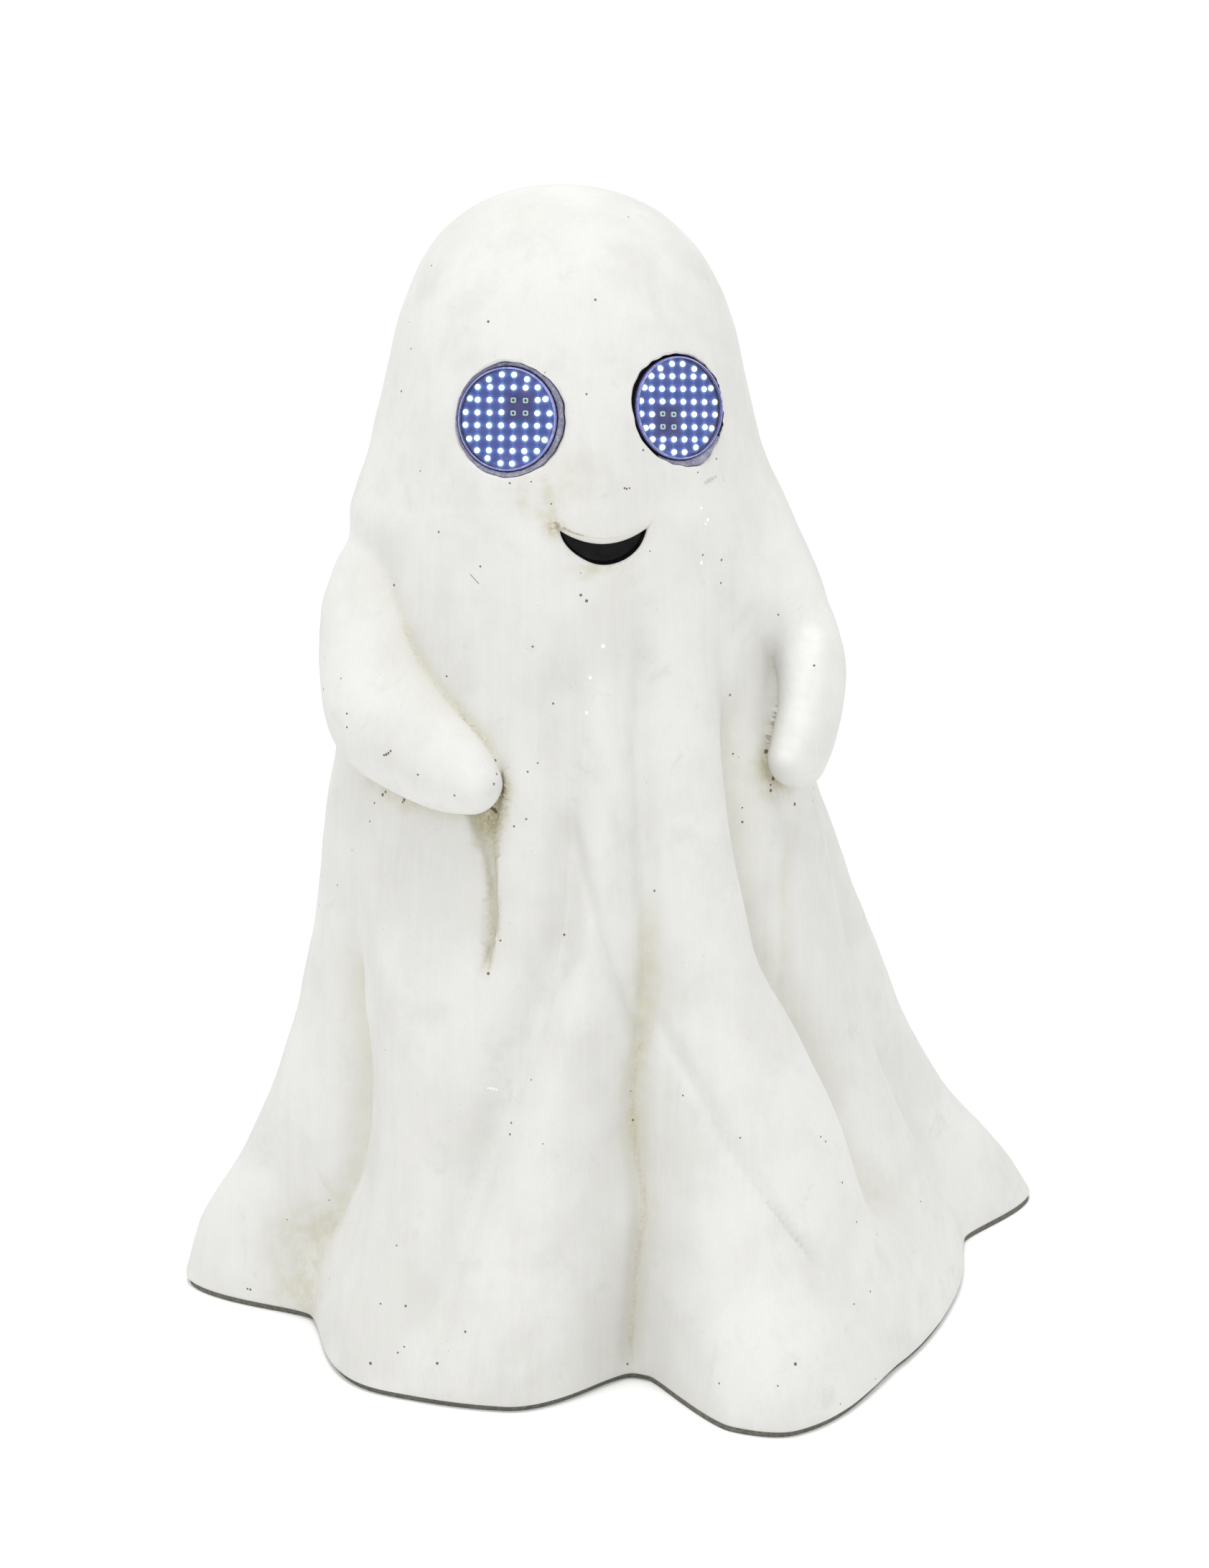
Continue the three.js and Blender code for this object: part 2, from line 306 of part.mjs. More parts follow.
const alongZ = (x, y, z) => T3(x, y, z);
{
  let h = man(box(HX0, HX1, FL0, FL1, HZ0, HZ1));
  h = h.add(man(box(TX0, TX1, TY0, FL0 + 0.5, TZ0, TZ1)));
  h = h.subtract(man(box(TX0 + 2, TX1 - 2, TY0 + 2, FL1 + 1, TZ0 + 2, TZ1 - 2)));
  // switch slot above the bay
  h = h.subtract(man(box(XC - 4.5, XC + 4.5, FL0 - 1, FL1 + 1, zb + 34.6, zb + 39.4)));
  // hinge knuckles on the flange
  for (const [z0, z1] of [[zb - 22, zb - 12.4], [zb + 12.4, zb + 22]]) {
    h = h.add(man(at(disc(HINGE_R, z0, z1, 16), alongZ(HINGE_X, HINGE_Y, 0))));
    h = h.add(man(box(HINGE_X - 2, HINGE_X + 0.9, FL1 - 0.5, HINGE_Y, z0, z1)));
    h = h.subtract(man(at(disc(PIN_R + 0.35, z0 - 1, z1 + 1, 12), alongZ(HINGE_X, HINGE_Y, 0))));
  }
  // lead holes in the floor of the bay
  h = h.subtract(hole(XC - 20, zb + 24, 1.9, TY0 - 1, TY0 + 3, 12));
  for (const [x, z] of FL_SCREWS) h = h.subtract(hole(x, z, 1.5, FL0 - 1, FL1 + 1, 10));
  // pilot holes for the controller case
  for (const s of [-1, 1]) h = h.subtract(hole(XC + s * 27, zb, 1.2, TY0 - 1, TY0 + 3, 10));
  add('battery_housing', h, 'black');
  FL_SCREWS.forEach(([x, z], i) => add('flange_screw_' + (i + 1), at(turn([[0, BAT_PLANE - 6], [1.1, BAT_PLANE - 5.4], [1.1, FL1 + 0.35], [2.9, FL1 + 0.4], [2.7, FL1 + 1.5], [0, FL1 + 1.9]], 10), T3(x, 0, z).multiply(alongY(0))), 'steel'));
  let d = man(box(XC - 34, XC + 36, D0, D1, zb - 30, zb + 30));
  d = d.add(man(at(disc(HINGE_R, zb - 12, zb + 12, 16), alongZ(HINGE_X, HINGE_Y, 0))));
  d = d.add(man(box(HINGE_X, XC - 33.6, D0, D1, zb - 12, zb + 12)));
  d = d.subtract(man(at(disc(PIN_R + 0.35, zb - 13, zb + 13, 12), alongZ(HINGE_X, HINGE_Y, 0))));
  d = d.subtract(hole(XC + 31.5, zb, 2.0, D0 - 1, D1 + 1, 16));
  // finger grip
  for (const s of [-1.5, 0, 1.5]) d = d.subtract(man(box(XC + 20, XC + 25, D1 - 0.7, D1 + 1, zb + s * 4 - 0.9, zb + s * 4 + 0.9)));
  add('battery_door', d, 'black');
  add('hinge_pin', at(disc(PIN_R, zb - 22, zb + 22, 12), alongZ(HINGE_X, HINGE_Y, 0)), 'steel');
  let s = man(at(turn([[0, D0 + 0.1], [1.6, D0 + 0.1], [1.6, D1 + 0.3], [3.4, D1 + 0.35], [3.4, D1 + 1.3], [3.0, D1 + 1.7], [0, D1 + 1.8]], 20), T3(XC + 31.5, 0, zb).multiply(alongY(0))));
  s = s.subtract(man(box(XC + 31.5 - 4, XC + 31.5 + 4, D1 + 1.1, D1 + 3, zb - 0.5, zb + 0.5)));
  add('door_screw', s, 'steel');
}
// cells and contacts
const CY = TY0 + 2 + 0.6 + CELL_R + 0.4;
for (let i = 0; i < 3; i++) {
  const z = zb + (i - 1) * CELL_PITCH, f = i % 2 ? -1 : 1;
  const g = turn([[0, -CELL_L / 2], [5, -CELL_L / 2], [5, -CELL_L / 2 + 0.2], [CELL_R - 0.5, -CELL_L / 2 + 0.2], [CELL_R, -CELL_L / 2 + 0.9], [CELL_R, CELL_L / 2 - 0.9], [CELL_R - 0.5, CELL_L / 2 - 0.2], [2.75, CELL_L / 2 - 0.1], [2.75, CELL_L / 2 + 1.2], [0, CELL_L / 2 + 1.3]], 18);
  add('cell_' + (i + 1), at(g, T3(XC + f * 0.3, CY, z).multiply(new THREE.Matrix4().makeRotationY(f * Math.PI / 2))), 'cell');
}
{
  // flat plates at the ends of the bay; a cone spring presses on each flat cell end
  const plate = (side, z0, z1) => man(box(XC + side * 30.9 - 0.35, XC + side * 30.9 + 0.35, CY - 6, CY + 6, z0, z1));
  const cone = (side, z) => man(at(turn([[0, 0], [4.2, 0], [3.8, 1.2], [2.9, 3.8], [0, 4.0]], 16), T3(XC + side * 30.7, CY, z).multiply(new THREE.Matrix4().makeRotationY(-side * Math.PI / 2))));
  const nub = (side, z) => man(at(turn([[0, 0], [3, 0], [2.4, 3.0], [0, 3.2]], 16), T3(XC + side * 30.7, CY, z).multiply(new THREE.Matrix4().makeRotationY(-side * Math.PI / 2))));
  const P = CELL_PITCH;
  add('contact_negative', plate(-1, zb - P - 6, zb - P + 6).add(cone(-1, zb - P)), 'nickel');
  add('contact_bridge_right', union(plate(1, zb - P - 6, zb + 6), nub(1, zb - P), cone(1, zb)), 'nickel');
  add('contact_bridge_left', union(plate(-1, zb - 6, zb + P + 6), nub(-1, zb), cone(-1, zb + P)), 'nickel');
  add('contact_positive', plate(1, zb + P - 6, zb + P + 6).add(nub(1, zb + P)), 'nickel');
}
// slide switch
add('switch_body', man(box(XC - 9, XC + 9, FL0 - 9, FL0 - 1.3, zb + 33, zb + 41)).add(man(box(XC - 13, XC + 13, FL0 - 1.4, FL0 - 0.35, zb + 33, zb + 41)))
  .subtract(man(box(XC - 4.3, XC + 4.3, FL0 - 3.4, FL0 + 1, zb + 35.6, zb + 38.4))), 'steel');
{
  let k = man(box(XC - 2 - 2, XC - 2 + 2, FL0 - 0.05, FL1 + 2.4, zb + 35.1, zb + 38.9)).add(man(box(XC - 3, XC - 1, FL0 - 3, FL0 + 0.5, zb + 36, zb + 38)));
  for (const s of [-1.1, 0, 1.1]) k = k.subtract(man(box(XC - 2 + s - 0.25, XC - 2 + s + 0.25, FL1 + 1.9, FL1 + 3, zb + 34, zb + 40)));
  add('switch_knob', k, 'black');
}

// ---------- controller on the inner face of the battery box
{
  const y1 = TY0 - 0.4, y0 = y1 - 15;
  let c = man(box(XC - 24, XC + 24, y0, y1, zb - 18, zb + 18));
  c = c.subtract(man(box(XC - 22, XC + 22, y0 + 2, y1 + 1, zb - 16, zb + 16)));
  for (const s of [-1, 1]) c = c.add(man(box(XC + s * 27 - 3.6, XC + s * 27 + 3.6, y1 - 2, y1, zb - 4, zb + 4)));
  for (const s of [-1, 1]) c = c.subtract(hole(XC + s * 27, zb, 1.2, y1 - 4, y1 + 1, 10));
  for (const x of [-12, 12]) c = c.subtract(man(at(disc(2.1, zb + 14, zb + 20, 12), T3(XC + x, y0 + 9, 0))));
  c = c.subtract(man(box(XC - 21.9, XC - 18.1, y1 - 5.2, y1 + 1, zb + 14, zb + 20)));
  add('controller_case', c, 'black');
  let b = man(box(XC - 21, XC + 21, y0 + 3, y0 + 4.6, zb - 15, zb + 11));
  b = union(b, man(box(XC - 4, XC + 4, y0 + 4.2, y0 + 6, zb - 6, zb + 2)), man(box(XC - 15, XC - 11, y0 + 4.2, y0 + 7.2, zb - 12, zb - 6)), man(box(XC + 9, XC + 15, y0 + 4.2, y0 + 6.6, zb - 12, zb - 8)));
  add('controller_board', b, 'green');
  for (const s of [-1, 1]) add('case_screw_' + (s < 0 ? 1 : 2), at(turn([[0, y1 - 4.2], [2.0, y1 - 4.0], [2.2, y1 - 2.4], [0.85, y1 - 2.35], [0.85, y1 + 1.9], [0, y1 + 2.1]], 10), T3(XC + s * 27, 0, zb).multiply(alongY(0))), 'steel');
  // leads
  const yb = y0 + 9;
  for (const [k, x] of [['l', 12], ['r', -12]]) {
    const F = EYES[k], p = (w, dx = 0, dy = 0) => new THREE.Vector3(dx, dy, w).applyMatrix4(F).toArray();
    const e = p(-34), s = k === 'l' ? 1 : -1;
    add(`eye_${k}_lead`, tube([p(-9.4), p(-16), p(-24), [e[0] - s * 2, e[1] + 6, e[2] - 8], [XC + x + s * 4, 10, 330], [XC + x + s * 3, 40, 260], [XC + x, yb - 2, zb + 60], [XC + x, yb, zb + 36], [XC + x, yb, zb + 19], [XC + x, yb, zb + 12]], 1.4, 34, 7), 'lead');
  }
  add('battery_lead', tube([[XC - 20, TY0 + 3.2, zb + 24], [XC - 20, TY0 - 1, zb + 24], [XC - 20, TY0 - 3, zb + 22.5], [XC - 20, y1 - 3, zb + 18], [XC - 20, y1 - 3, zb + 13]], 1.3, 16), 'lead');
}
export default part;
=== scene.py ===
import math
import json
import bpy
import bmesh
import numpy as np
from mathutils import Vector, Matrix

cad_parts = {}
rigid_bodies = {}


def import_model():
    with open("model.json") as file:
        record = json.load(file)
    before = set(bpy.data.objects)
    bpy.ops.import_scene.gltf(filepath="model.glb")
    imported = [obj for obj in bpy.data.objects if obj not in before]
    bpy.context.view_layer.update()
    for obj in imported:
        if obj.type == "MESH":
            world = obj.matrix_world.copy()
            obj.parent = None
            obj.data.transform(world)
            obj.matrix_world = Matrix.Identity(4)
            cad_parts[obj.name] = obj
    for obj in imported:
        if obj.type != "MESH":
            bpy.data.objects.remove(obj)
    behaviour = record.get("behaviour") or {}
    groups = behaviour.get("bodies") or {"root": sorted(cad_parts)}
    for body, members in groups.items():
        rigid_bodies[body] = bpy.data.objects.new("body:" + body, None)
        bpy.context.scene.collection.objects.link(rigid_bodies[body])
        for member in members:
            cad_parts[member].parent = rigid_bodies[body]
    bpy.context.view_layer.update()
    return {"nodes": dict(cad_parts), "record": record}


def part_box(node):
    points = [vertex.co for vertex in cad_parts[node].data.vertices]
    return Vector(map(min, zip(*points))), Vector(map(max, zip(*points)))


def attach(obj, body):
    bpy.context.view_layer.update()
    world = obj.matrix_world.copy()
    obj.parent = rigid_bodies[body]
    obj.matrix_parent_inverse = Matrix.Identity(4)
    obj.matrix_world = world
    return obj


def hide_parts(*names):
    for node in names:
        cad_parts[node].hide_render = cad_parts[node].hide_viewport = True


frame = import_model()
RECORD = frame["record"]

# ------------------------------------------------------------------ dimensions (mm, as in the frame)
TOP = 476.0
WALL, WALL_MIN = 9.5, 7.0
SX, SY = -32.937, 1.3665
EYE_TILT = 13.0
EYE_POS = {"l": (398.7, 29.0, 23.5), "r": (397.0, -28.0, -28.0)}  # centre height, azimuth of its place, azimuth it faces
LED_PITCH = 4.88
BAT_PLANE, BAT_RECESS, BAT_ZC = 100.0, 3.4, 150.0
LEDGE_Z = 8.1


# ------------------------------------------------------------------ smooth tables
def pslopes(xs, ys):
    h = np.diff(xs); d = np.diff(ys) / h; n = len(xs); m = np.zeros(n); m[0] = d[0]; m[-1] = d[-1]
    for i in range(1, n - 1):
        if d[i - 1] * d[i] > 0:
            w1 = 2 * h[i] + h[i - 1]; w2 = h[i] + 2 * h[i - 1]
            m[i] = (w1 + w2) / (w1 / d[i - 1] + w2 / d[i])
    return m


def table(xs, ys):
    xs = np.asarray(xs, float); ys = np.asarray(ys, float)
    h = np.diff(xs); m = pslopes(xs, ys); n = len(xs)

    def f(x):
        x = np.clip(np.asarray(x, float), xs[0], xs[-1])
        k = np.clip(np.searchsorted(xs, x, side="right") - 1, 0, n - 2)
        t = (x - xs[k]) / h[k]
        return ((2 * t**3 - 3 * t**2 + 1) * ys[k] + (t**3 - 2 * t**2 + t) * h[k] * m[k]
                + (3 * t**2 - 2 * t**3) * ys[k + 1] + (t**3 - t**2) * h[k] * m[k + 1])
    return f


def sstep(a, b, x):
    t = np.clip((np.asarray(x, float) - a) / (b - a), 0, 1)
    return t * t * (3 - 2 * t)


LV = [(0, 8, 122, 100), (60, 8, 117, 100), (110, 7, 113, 99), (150, 6, 109, 98), (200, 5, 103, 95), (230, 4, 98, 92),
      (262, 3.5, 92.5, 88), (300, 3, 88, 84), (330, 2.5, 85.5, 82), (350, 2, 83.5, 81), (372, 2, 78.6, 78),
      (395, 2, 73.6, 73), (418, 1.6, 68, 67.5), (436, 1.2, 61.6, 61), (448, .8, 55.5, 55), (458, .5, 47.5, 47),
      (466, .3, 37.5, 37), (472, .1, 24, 24), (475.2, 0, 10, 10), (476, 0, 0.01, 0.01)]
LX = table([l[0] for l in LV], [l[1] for l in LV])
LA = table([l[0] for l in LV], [l[2] for l in LV])
LB = table([l[0] for l in LV], [l[3] for l in LV])
ZR = [0, 25, 60, 100, 140, 185, 240, 300]
RIBS = [
    ([-103, -104, -104, -100, -97, -95, -95, -95], [53, 48.5, 31.5, 16, 6.8, 2, 1, 0]),
    ([-83, -82, -74, -67, -68, -71, -74, -76], [-1, -3, -7, -9, -8, -5, 0, 0]),
    ([-50, -49.5, -49, -48.5, -51, -55, -58, -60], [22, 19.5, 14, 9, 6, 2, 0, 0]),
    ([-42, -41.5, -36.5, -29.5, -22.6, -14, -10.5, -10.4], [21, 15, 6, -1, -4, -5, -4, -2]),
    ([-25, -22.5, -21.5, -18.5, -13, -6.5, -2, -0.5], [20, 18, 12, 7, 4, 2, 1.5, 1]),
    ([2.5, 3.2, 5, 4, 5.8, 8.5, 8.5, 9.5], [-8, -9, -8, -8, -7, -5, -3, -2]),
    ([7, 7.5, 9, 9, 10.5, 12.5, 13, 13.5], [-5, -4, -3, -4, -4, -3, -2, -1.5]),
    ([14, 14, 15.5, 16, 17, 18, 18, 17.5], [48.5, 39.5, 22, 12, 7, 3, 1, 0.5]),
    ([22, 21.5, 25, 26.8, 26.6, 26, 25.5, 24], [62, 55.5, 38, 26, 17, 9, 4, 1.5]),
    ([50, 49, 48, 47, 42, 33.5, 31.5, 31], [43, 40, 31, 22, 12, 5, 1, 0]),
    ([66, 66, 60, 54.5, 50.2, 39, 36.8, 37.5], [41, 33, 17, 3, -4, -7, -5, -3]),
    ([85, 83, 80, 78, 77, 74, 70, 66], [46, 41, 29, 16, 8, 4, 2, 0]),
    ([94.5, 94, 92, 90, 89, 88, 88, 88], [55, 44, 26, 10, 2, 0, 0, 0]),
    ([106.5, 107, 108, 106, 103, 101, 100, 100], [109.5, 95.5, 68.5, 45.5, 30.5, 17, 5, 0]),
    ([135, 135, 135, 134, 132, 130, 128, 128], [40, 30, 14, 2, -3, -4, -3, -1]),
    ([152, 152, 152, 151, 150, 150, 150, 150], [66, 58, 40, 24, 12, 5, 1, 0]),
    ([170, 170, 170, 169, 168, 168, 168, 168], [24, 16, 6, -2, -5, -5, -3, -1]),
    ([190, 190, 190, 189, 188, 188, 188, 188], [50, 43, 28, 16, 8, 3, 0, 0]),
    ([207, 207, 207, 207, 207, 207, 207, 207], [20, 12, 3, -3, -5, -5, -3, -1]),
    ([225, 225, 225, 226, 227, 228, 228, 228], [58, 51, 36, 22, 11, 4, 0, 0]),
    ([240, 240, 241, 243, 244, 245, 246, 246], [22, 14, 5, -2, -4, -4, -2, 0]),
]
RIBS = [(table(ZR, a), table(ZR, b)) for a, b in RIBS]
COLS = [5, 6, 3, 3, 5, 1, 2, 2, 5, 3, 4, 3, 4, 5, 4, 4, 4, 4, 4, 3, 4]
BULGES = [(92, 316, 8, 30, 30), (104, 268, 5, 26, 36), (-112, 305, 9, 28, 34), (-118, 265, 5, 26, 36)]
# creases: heights, azimuths, depth, softness on the -azimuth and +azimuth side (mm), dirt
CREASES = [
    ([34, 60, 78, 103, 122, 135, 151, 170], [-84, -76.2, -71.8, -69.4, -69, -70.2, -72.3, -72.6], 3.6, 8, 3.4, 1.0),
    ([30, 60, 87, 113, 140, 166, 188, 211, 250, 300], [-39.4, -37.4, -34.2, -29.6, -24.6, -18.6, -13.4, -10.2, -10.8, -10.3], 4.6, 9, 7, 0.0),
    ([8, 30, 56, 78, 95, 112, 134, 150, 177, 205, 235, 262, 305], [3, 4, 5.2, 6.6, 5.6, 4.6, 5.2, 7.4, 9.2, 9.6, 9.6, 9.4, 11.5], 3.4, 5, 4.6, 0.9),
    ([54, 75, 90, 103, 125, 137, 152, 172, 186, 222, 265, 277], [61.5, 56.6, 54.1, 54.7, 52.6, 50.7, 47.7, 41.4, 38.6, 35.7, 35.7, 38.4], 4.2, 2.8, 10, 0.5),
    ([152, 165, 183, 203, 224, 240], [6.4, 3, -1.2, -4.3, -7.1, -9.3], 2.5, 2.8, 2.4, 0.0),
    ([61, 75, 87, 100, 110, 127, 140, 154], [32, 28.2, 25.4, 22.8, 20.8, 18, 15, 12.2], 2.7, 2.8, 2.2, 0.0),
    ([150, 180, 199, 221], [49.9, 51.5, 52.8, 56.3], 1.8, 3, 3.5, 0.4),
]
CREASES = [dict(z0=c[0][0], z1=c[0][-1], az=table(c[0], c[1]), d=c[2], wl=c[3], wr=c[4], dirt=c[5]) for c in CREASES]
# short deep wedge under the right hand
WEDGE = (table([178, 187, 199, 210, 223, 228, 233, 241, 250], [-32.2, -31.5, -30.9, -31, -31.9, -32.9, -34.7, -36.4, -38.5]),
         table([178, 190, 201, 217, 231, 236, 244, 252], [-30.5, -29.4, -28.5, -28.7, -29.3, -29, -28, -27]), 177, 258)
ARM_R = [(-65, -8, 354, 5.5), (-72, -12, 339, 13), (-75.9, -16.7, 323, 19.4), (-78.1, -22.2, 308.7, 22.5), (-77.9, -28.4, 296.6, 24.4),
         (-76.8, -35.6, 285.5, 25.4), (-75, -43.6, 276.3, 25.7), (-69.5, -52, 269.8, 23.9), (-62.6, -60.9, 264.6, 21), (-55.4, -69.7, 259.9, 17.1),
         (-49.3, -78.3, 255.9, 12)]
ARM_L = [(58, -12, 354, 4.5), (71.5, -20, 337, 10), (84.4, -31, 318, 13.6), (90.8, -41.5, 300, 14.6), (93.4, -48, 286, 14), (92.3, -52.5, 273.3, 13.2),
         (89.2, -56.1, 262.6, 12.8), (85.5, -59, 253.3, 11.9)]


def rib_tables(z):
    zc = min(max(z, 0), 300)
    T = [float(r[0](zc)) for r in RIBS]; D = [float(r[1](zc)) for r in RIBS]
    xs = [T[-2] - 360, T[-1] - 360] + T + [T[0] + 360, T[1] + 360]
    ys = [D[-2], D[-1]] + D + [D[0], D[1]]
    return table(xs, ys), T[0]


def ribs_row(th, z):
    """th: array of azimuths at one height."""
    f, t0 = rib_tables(z)
    return f((np.asarray(th) - t0) % 360 + t0) * (1 if z <= 300 else max(0, 1 - (z - 300) / 40))


def columns(z, counts):
    T = [float(r[0](min(max(z, 0), 300))) for r in RIBS]; T.append(T[0] + 360)
    out = []
    for k, n in enumerate(counts):
        out += [T[k] + (T[k + 1] - T[k]) * i / n for i in range(n)]
    return np.array(out)


def ellipse(th, z):
    s, c = np.sin(np.radians(th)), np.cos(np.radians(th))
    return 1 / np.sqrt((s / LA(z)) ** 2 + (c / LB(z)) ** 2)


def wrap(d):
    return (d + 540) % 360 - 180


def radius_row(th, z, fine=True):
    r = ellipse(th, z) + ribs_row(th, z)
    base = r.copy()
    for c in CREASES:
        f = float(sstep(c["z0"] - 14, c["z0"] + 10, z) * (1 - sstep(c["z1"] - 10, c["z1"] + 14, z)))
        if f > 0:
            d = np.radians(wrap(th - float(c["az"](z)))) * base
            r = r - f * c["d"] * np.exp(-(d / np.where(d < 0, c["wl"], c["wr"])) ** 2)
    wl, wr, z0, z1 = WEDGE
    f = float(sstep(z0 - 2, z0 + 12, z) * (1 - sstep(z1 - 6, z1 + 6, z)))
    if f > 0:
        dl = np.radians(wrap(th - float(wl(z)))) * base; dr = np.radians(wrap(float(wr(z)) - th)) * base
        lip = sstep(-.5, .9, dr)
        r = r - f * (2.7 + 1.3 * float(sstep(215, 240, z))) * sstep(-.7, 1.1, dl) * lip - f * 1.2 * np.exp(-(dl / 5.5) ** 2) * lip
    for a, zc, dd, wa, wz in BULGES:
        u = np.radians(wrap(th - a)) * base
        r = r + dd * np.exp(-((u / wa) ** 2) - ((z - zc) / wz) ** 2)
    back = (th + 720) % 360 - 180
    k = np.abs(back) < 60
    if k.any():
        f = BAT_PLANE + BAT_RECESS
        bb = np.where(k, back, 0)
        u = f * np.tan(np.radians(bb))
        w = (1 - sstep(51, 74, np.abs(u))) * (1 - sstep(50, 72, abs(z - (BAT_ZC + 6)))) * k
        r = r + (f / np.cos(np.radians(bb)) - r) * w
    if z < 7:
        r = r - 1.5 * (1 - max(z, 0) / 7) ** 2 - 1.4 * (1 - float(sstep(2.3, 2.9, z)))
    return r


def inner_row(th, z):
    e = ellipse(th, min(z + 3, TOP - 1))
    r = np.min([ribs_row(th + d, z) for d in (-7, -3.5, 0, 3.5, 7)], axis=0)
    return np.minimum(e + r - WALL, radius_row(th, z) - WALL_MIN)


def limb_spheres(A, n=46):
    A = np.array(A, float); s = np.arange(len(A)); q = np.linspace(0, len(A) - 1, n)
    return np.stack([table(s, A[:, i])(q) for i in range(4)], -1)


SPH = {"R": limb_spheres(ARM_R), "L": limb_spheres(ARM_L)}


def limb_dist(P, S, k=4.0):
    """distance to the chain of spheres, the least over all of them"""
    best = np.full(len(P), 1e9)
    for x, y, z, r in S:
        best = np.minimum(best, np.sqrt((P[:, 0] - x) ** 2 + (P[:, 1] - y) ** 2 + (P[:, 2] - z) ** 2) - r)
    return best


def limb_line(A, m=150):
    """centre line and radius of an arm, smoothed"""
    A = np.array(A, float); s = np.arange(len(A)); q = np.linspace(0, len(A) - 1, m)
    C = np.stack([table(s, A[:, i])(q) for i in range(4)], -1)
    for _ in range(10):
        C[1:-1] = 0.25 * C[:-2] + 0.5 * C[1:-1] + 0.25 * C[2:]
    return C


LINE = {"R": limb_line(ARM_R), "L": limb_line(ARM_L)}


def tube_dist(P, C):
    """distance to the skin of a tapering tube"""
    C = np.concatenate([C[:-1:3], C[-1:]]); best = np.full(len(P), 1e9)
    for a, b in zip(C[:-1], C[1:]):
        d = b[:3] - a[:3]; q = P - a[:3]
        h = np.clip(q @ d / d.dot(d), 0, 1)
        best = np.minimum(best, np.linalg.norm(q - h[:, None] * d, axis=1) - (a[3] + (b[3] - a[3]) * h))
    return best


def smin(a, b, k):
    h = np.maximum(k - np.abs(a - b), 0) / k
    return np.minimum(a, b) - h * h * k / 4


def arm_blend(th, z, side):
    """how softly the arm runs into the body: tight in the creases, wide at the shoulder and behind"""
    t = wrap(th)
    if side == "R":
        return np.maximum(sstep(330, 356, z), sstep(102, 128, -t))
    return np.maximum(sstep(292, 322, z), sstep(92, 114, t))


def with_arms(th, z, r0):
    """push the body's radius out to a smooth union with the arms"""
    cx = LX(z)
    out = r0.copy()
    near = np.zeros(len(th), bool)
    for S in SPH.values():
        P = np.stack([cx + r0 * np.sin(np.radians(th)), -r0 * np.cos(np.radians(th)), z], -1)
        near |= limb_dist(P, S) < 34
    idx = np.nonzero(near)[0]
    if not len(idx):
        return out
    t, zz, rr, c = th[idx], z[idx], r0[idx], cx[idx]
    sn, cs = np.sin(np.radians(t)), np.cos(np.radians(t))
    sR, sL = arm_blend(t, zz, "R"), arm_blend(t, zz, "L")
    r = rr + 45.0
    for _ in range(60):
        P = np.stack([c + r * sn, -r * cs, zz], -1)
        a = (r - rr) * 0.92
        # in the tight creases the arm is left well inside the separate limb
        d = smin(a, limb_dist(P, SPH["R"]) + 7.0 * (1 - sR), 1.0 + 25.0 * sR)
        d = smin(d, limb_dist(P, SPH["L"]) + 6.0 * (1 - sL), 1.0 + 25.0 * sL)
        r = r - np.clip(d, -2, 30) * 0.85
    out[idx] = np.maximum(r, rr)
    return out


# ------------------------------------------------------------------ meshes
def obj_from(name, V, F, mats=(), mi=None, smooth=True, shift=True):
    """a new piece from vertices in millimetres; faces are lists of indices"""
    V = np.asarray(V, float).copy()
    if shift:
        V[:, 0] += SX; V[:, 1] += SY
    me = bpy.data.meshes.new(name)
    me.from_pydata((V / 1000).tolist(), [], [tuple(map(int, f)) for f in F])
    for m in mats:
        me.materials.append(m)
    if mi is not None:
        me.polygons.foreach_set("material_index", np.asarray(mi, np.int32))
    if smooth:
        me.polygons.foreach_set("use_smooth", np.ones(len(me.polygons), bool))
    me.update()
    o = bpy.data.objects.new(name, me)
    bpy.context.scene.collection.objects.link(o)
    return o


def rings_mesh(R, cap0=None, cap1=None):
    """closed surface through rings of points, from the first to the last, outward for rings that turn anticlockwise going up"""
    R = [np.asarray(r, float) for r in R]
    n = len(R[0]); V = np.concatenate(R); F = []; band = []
    for k in range(len(R) - 1):
        a = k * n
        for i in range(n):
            j = (i + 1) % n
            F.append((a + i, a + j, a + n + j, a + n + i)); band.append(k)
    V = list(map(tuple, V))
    c0 = tuple(R[0].mean(0)) if cap0 is None else tuple(cap0)
    c1 = tuple(R[-1].mean(0)) if cap1 is None else tuple(cap1)
    V += [c0, c1]; b, t = len(V) - 2, len(V) - 1
    for i in range(n):
        j = (i + 1) % n
        F.append((b, j, i)); band.append(-1)
        F.append((t, (len(R) - 1) * n + i, (len(R) - 1) * n + j)); band.append(len(R) - 1)
    return np.array(V), F, np.array(band)


def place(M, P):
    P = np.asarray(P, float)
    return P @ M[:3, :3].T + M[:3, 3]


def lathe(profile, seg=64, M=None):
    """solid of revolution about local z, profile of (radius, height) with both ends on the axis"""
    a = np.arange(seg) * 2 * np.pi / seg
    body = [p for p in profile if p[0] > 1e-6]
    z0 = profile[0][1]; z1 = profile[-1][1]
    up = [np.stack([r * np.cos(a), r * np.sin(a), np.full(seg, z)], -1) for r, z in body]
    V, F, band = rings_mesh(up, (0, 0, z0), (0, 0, z1))
    return (V if M is None else place(M, V)), F, band


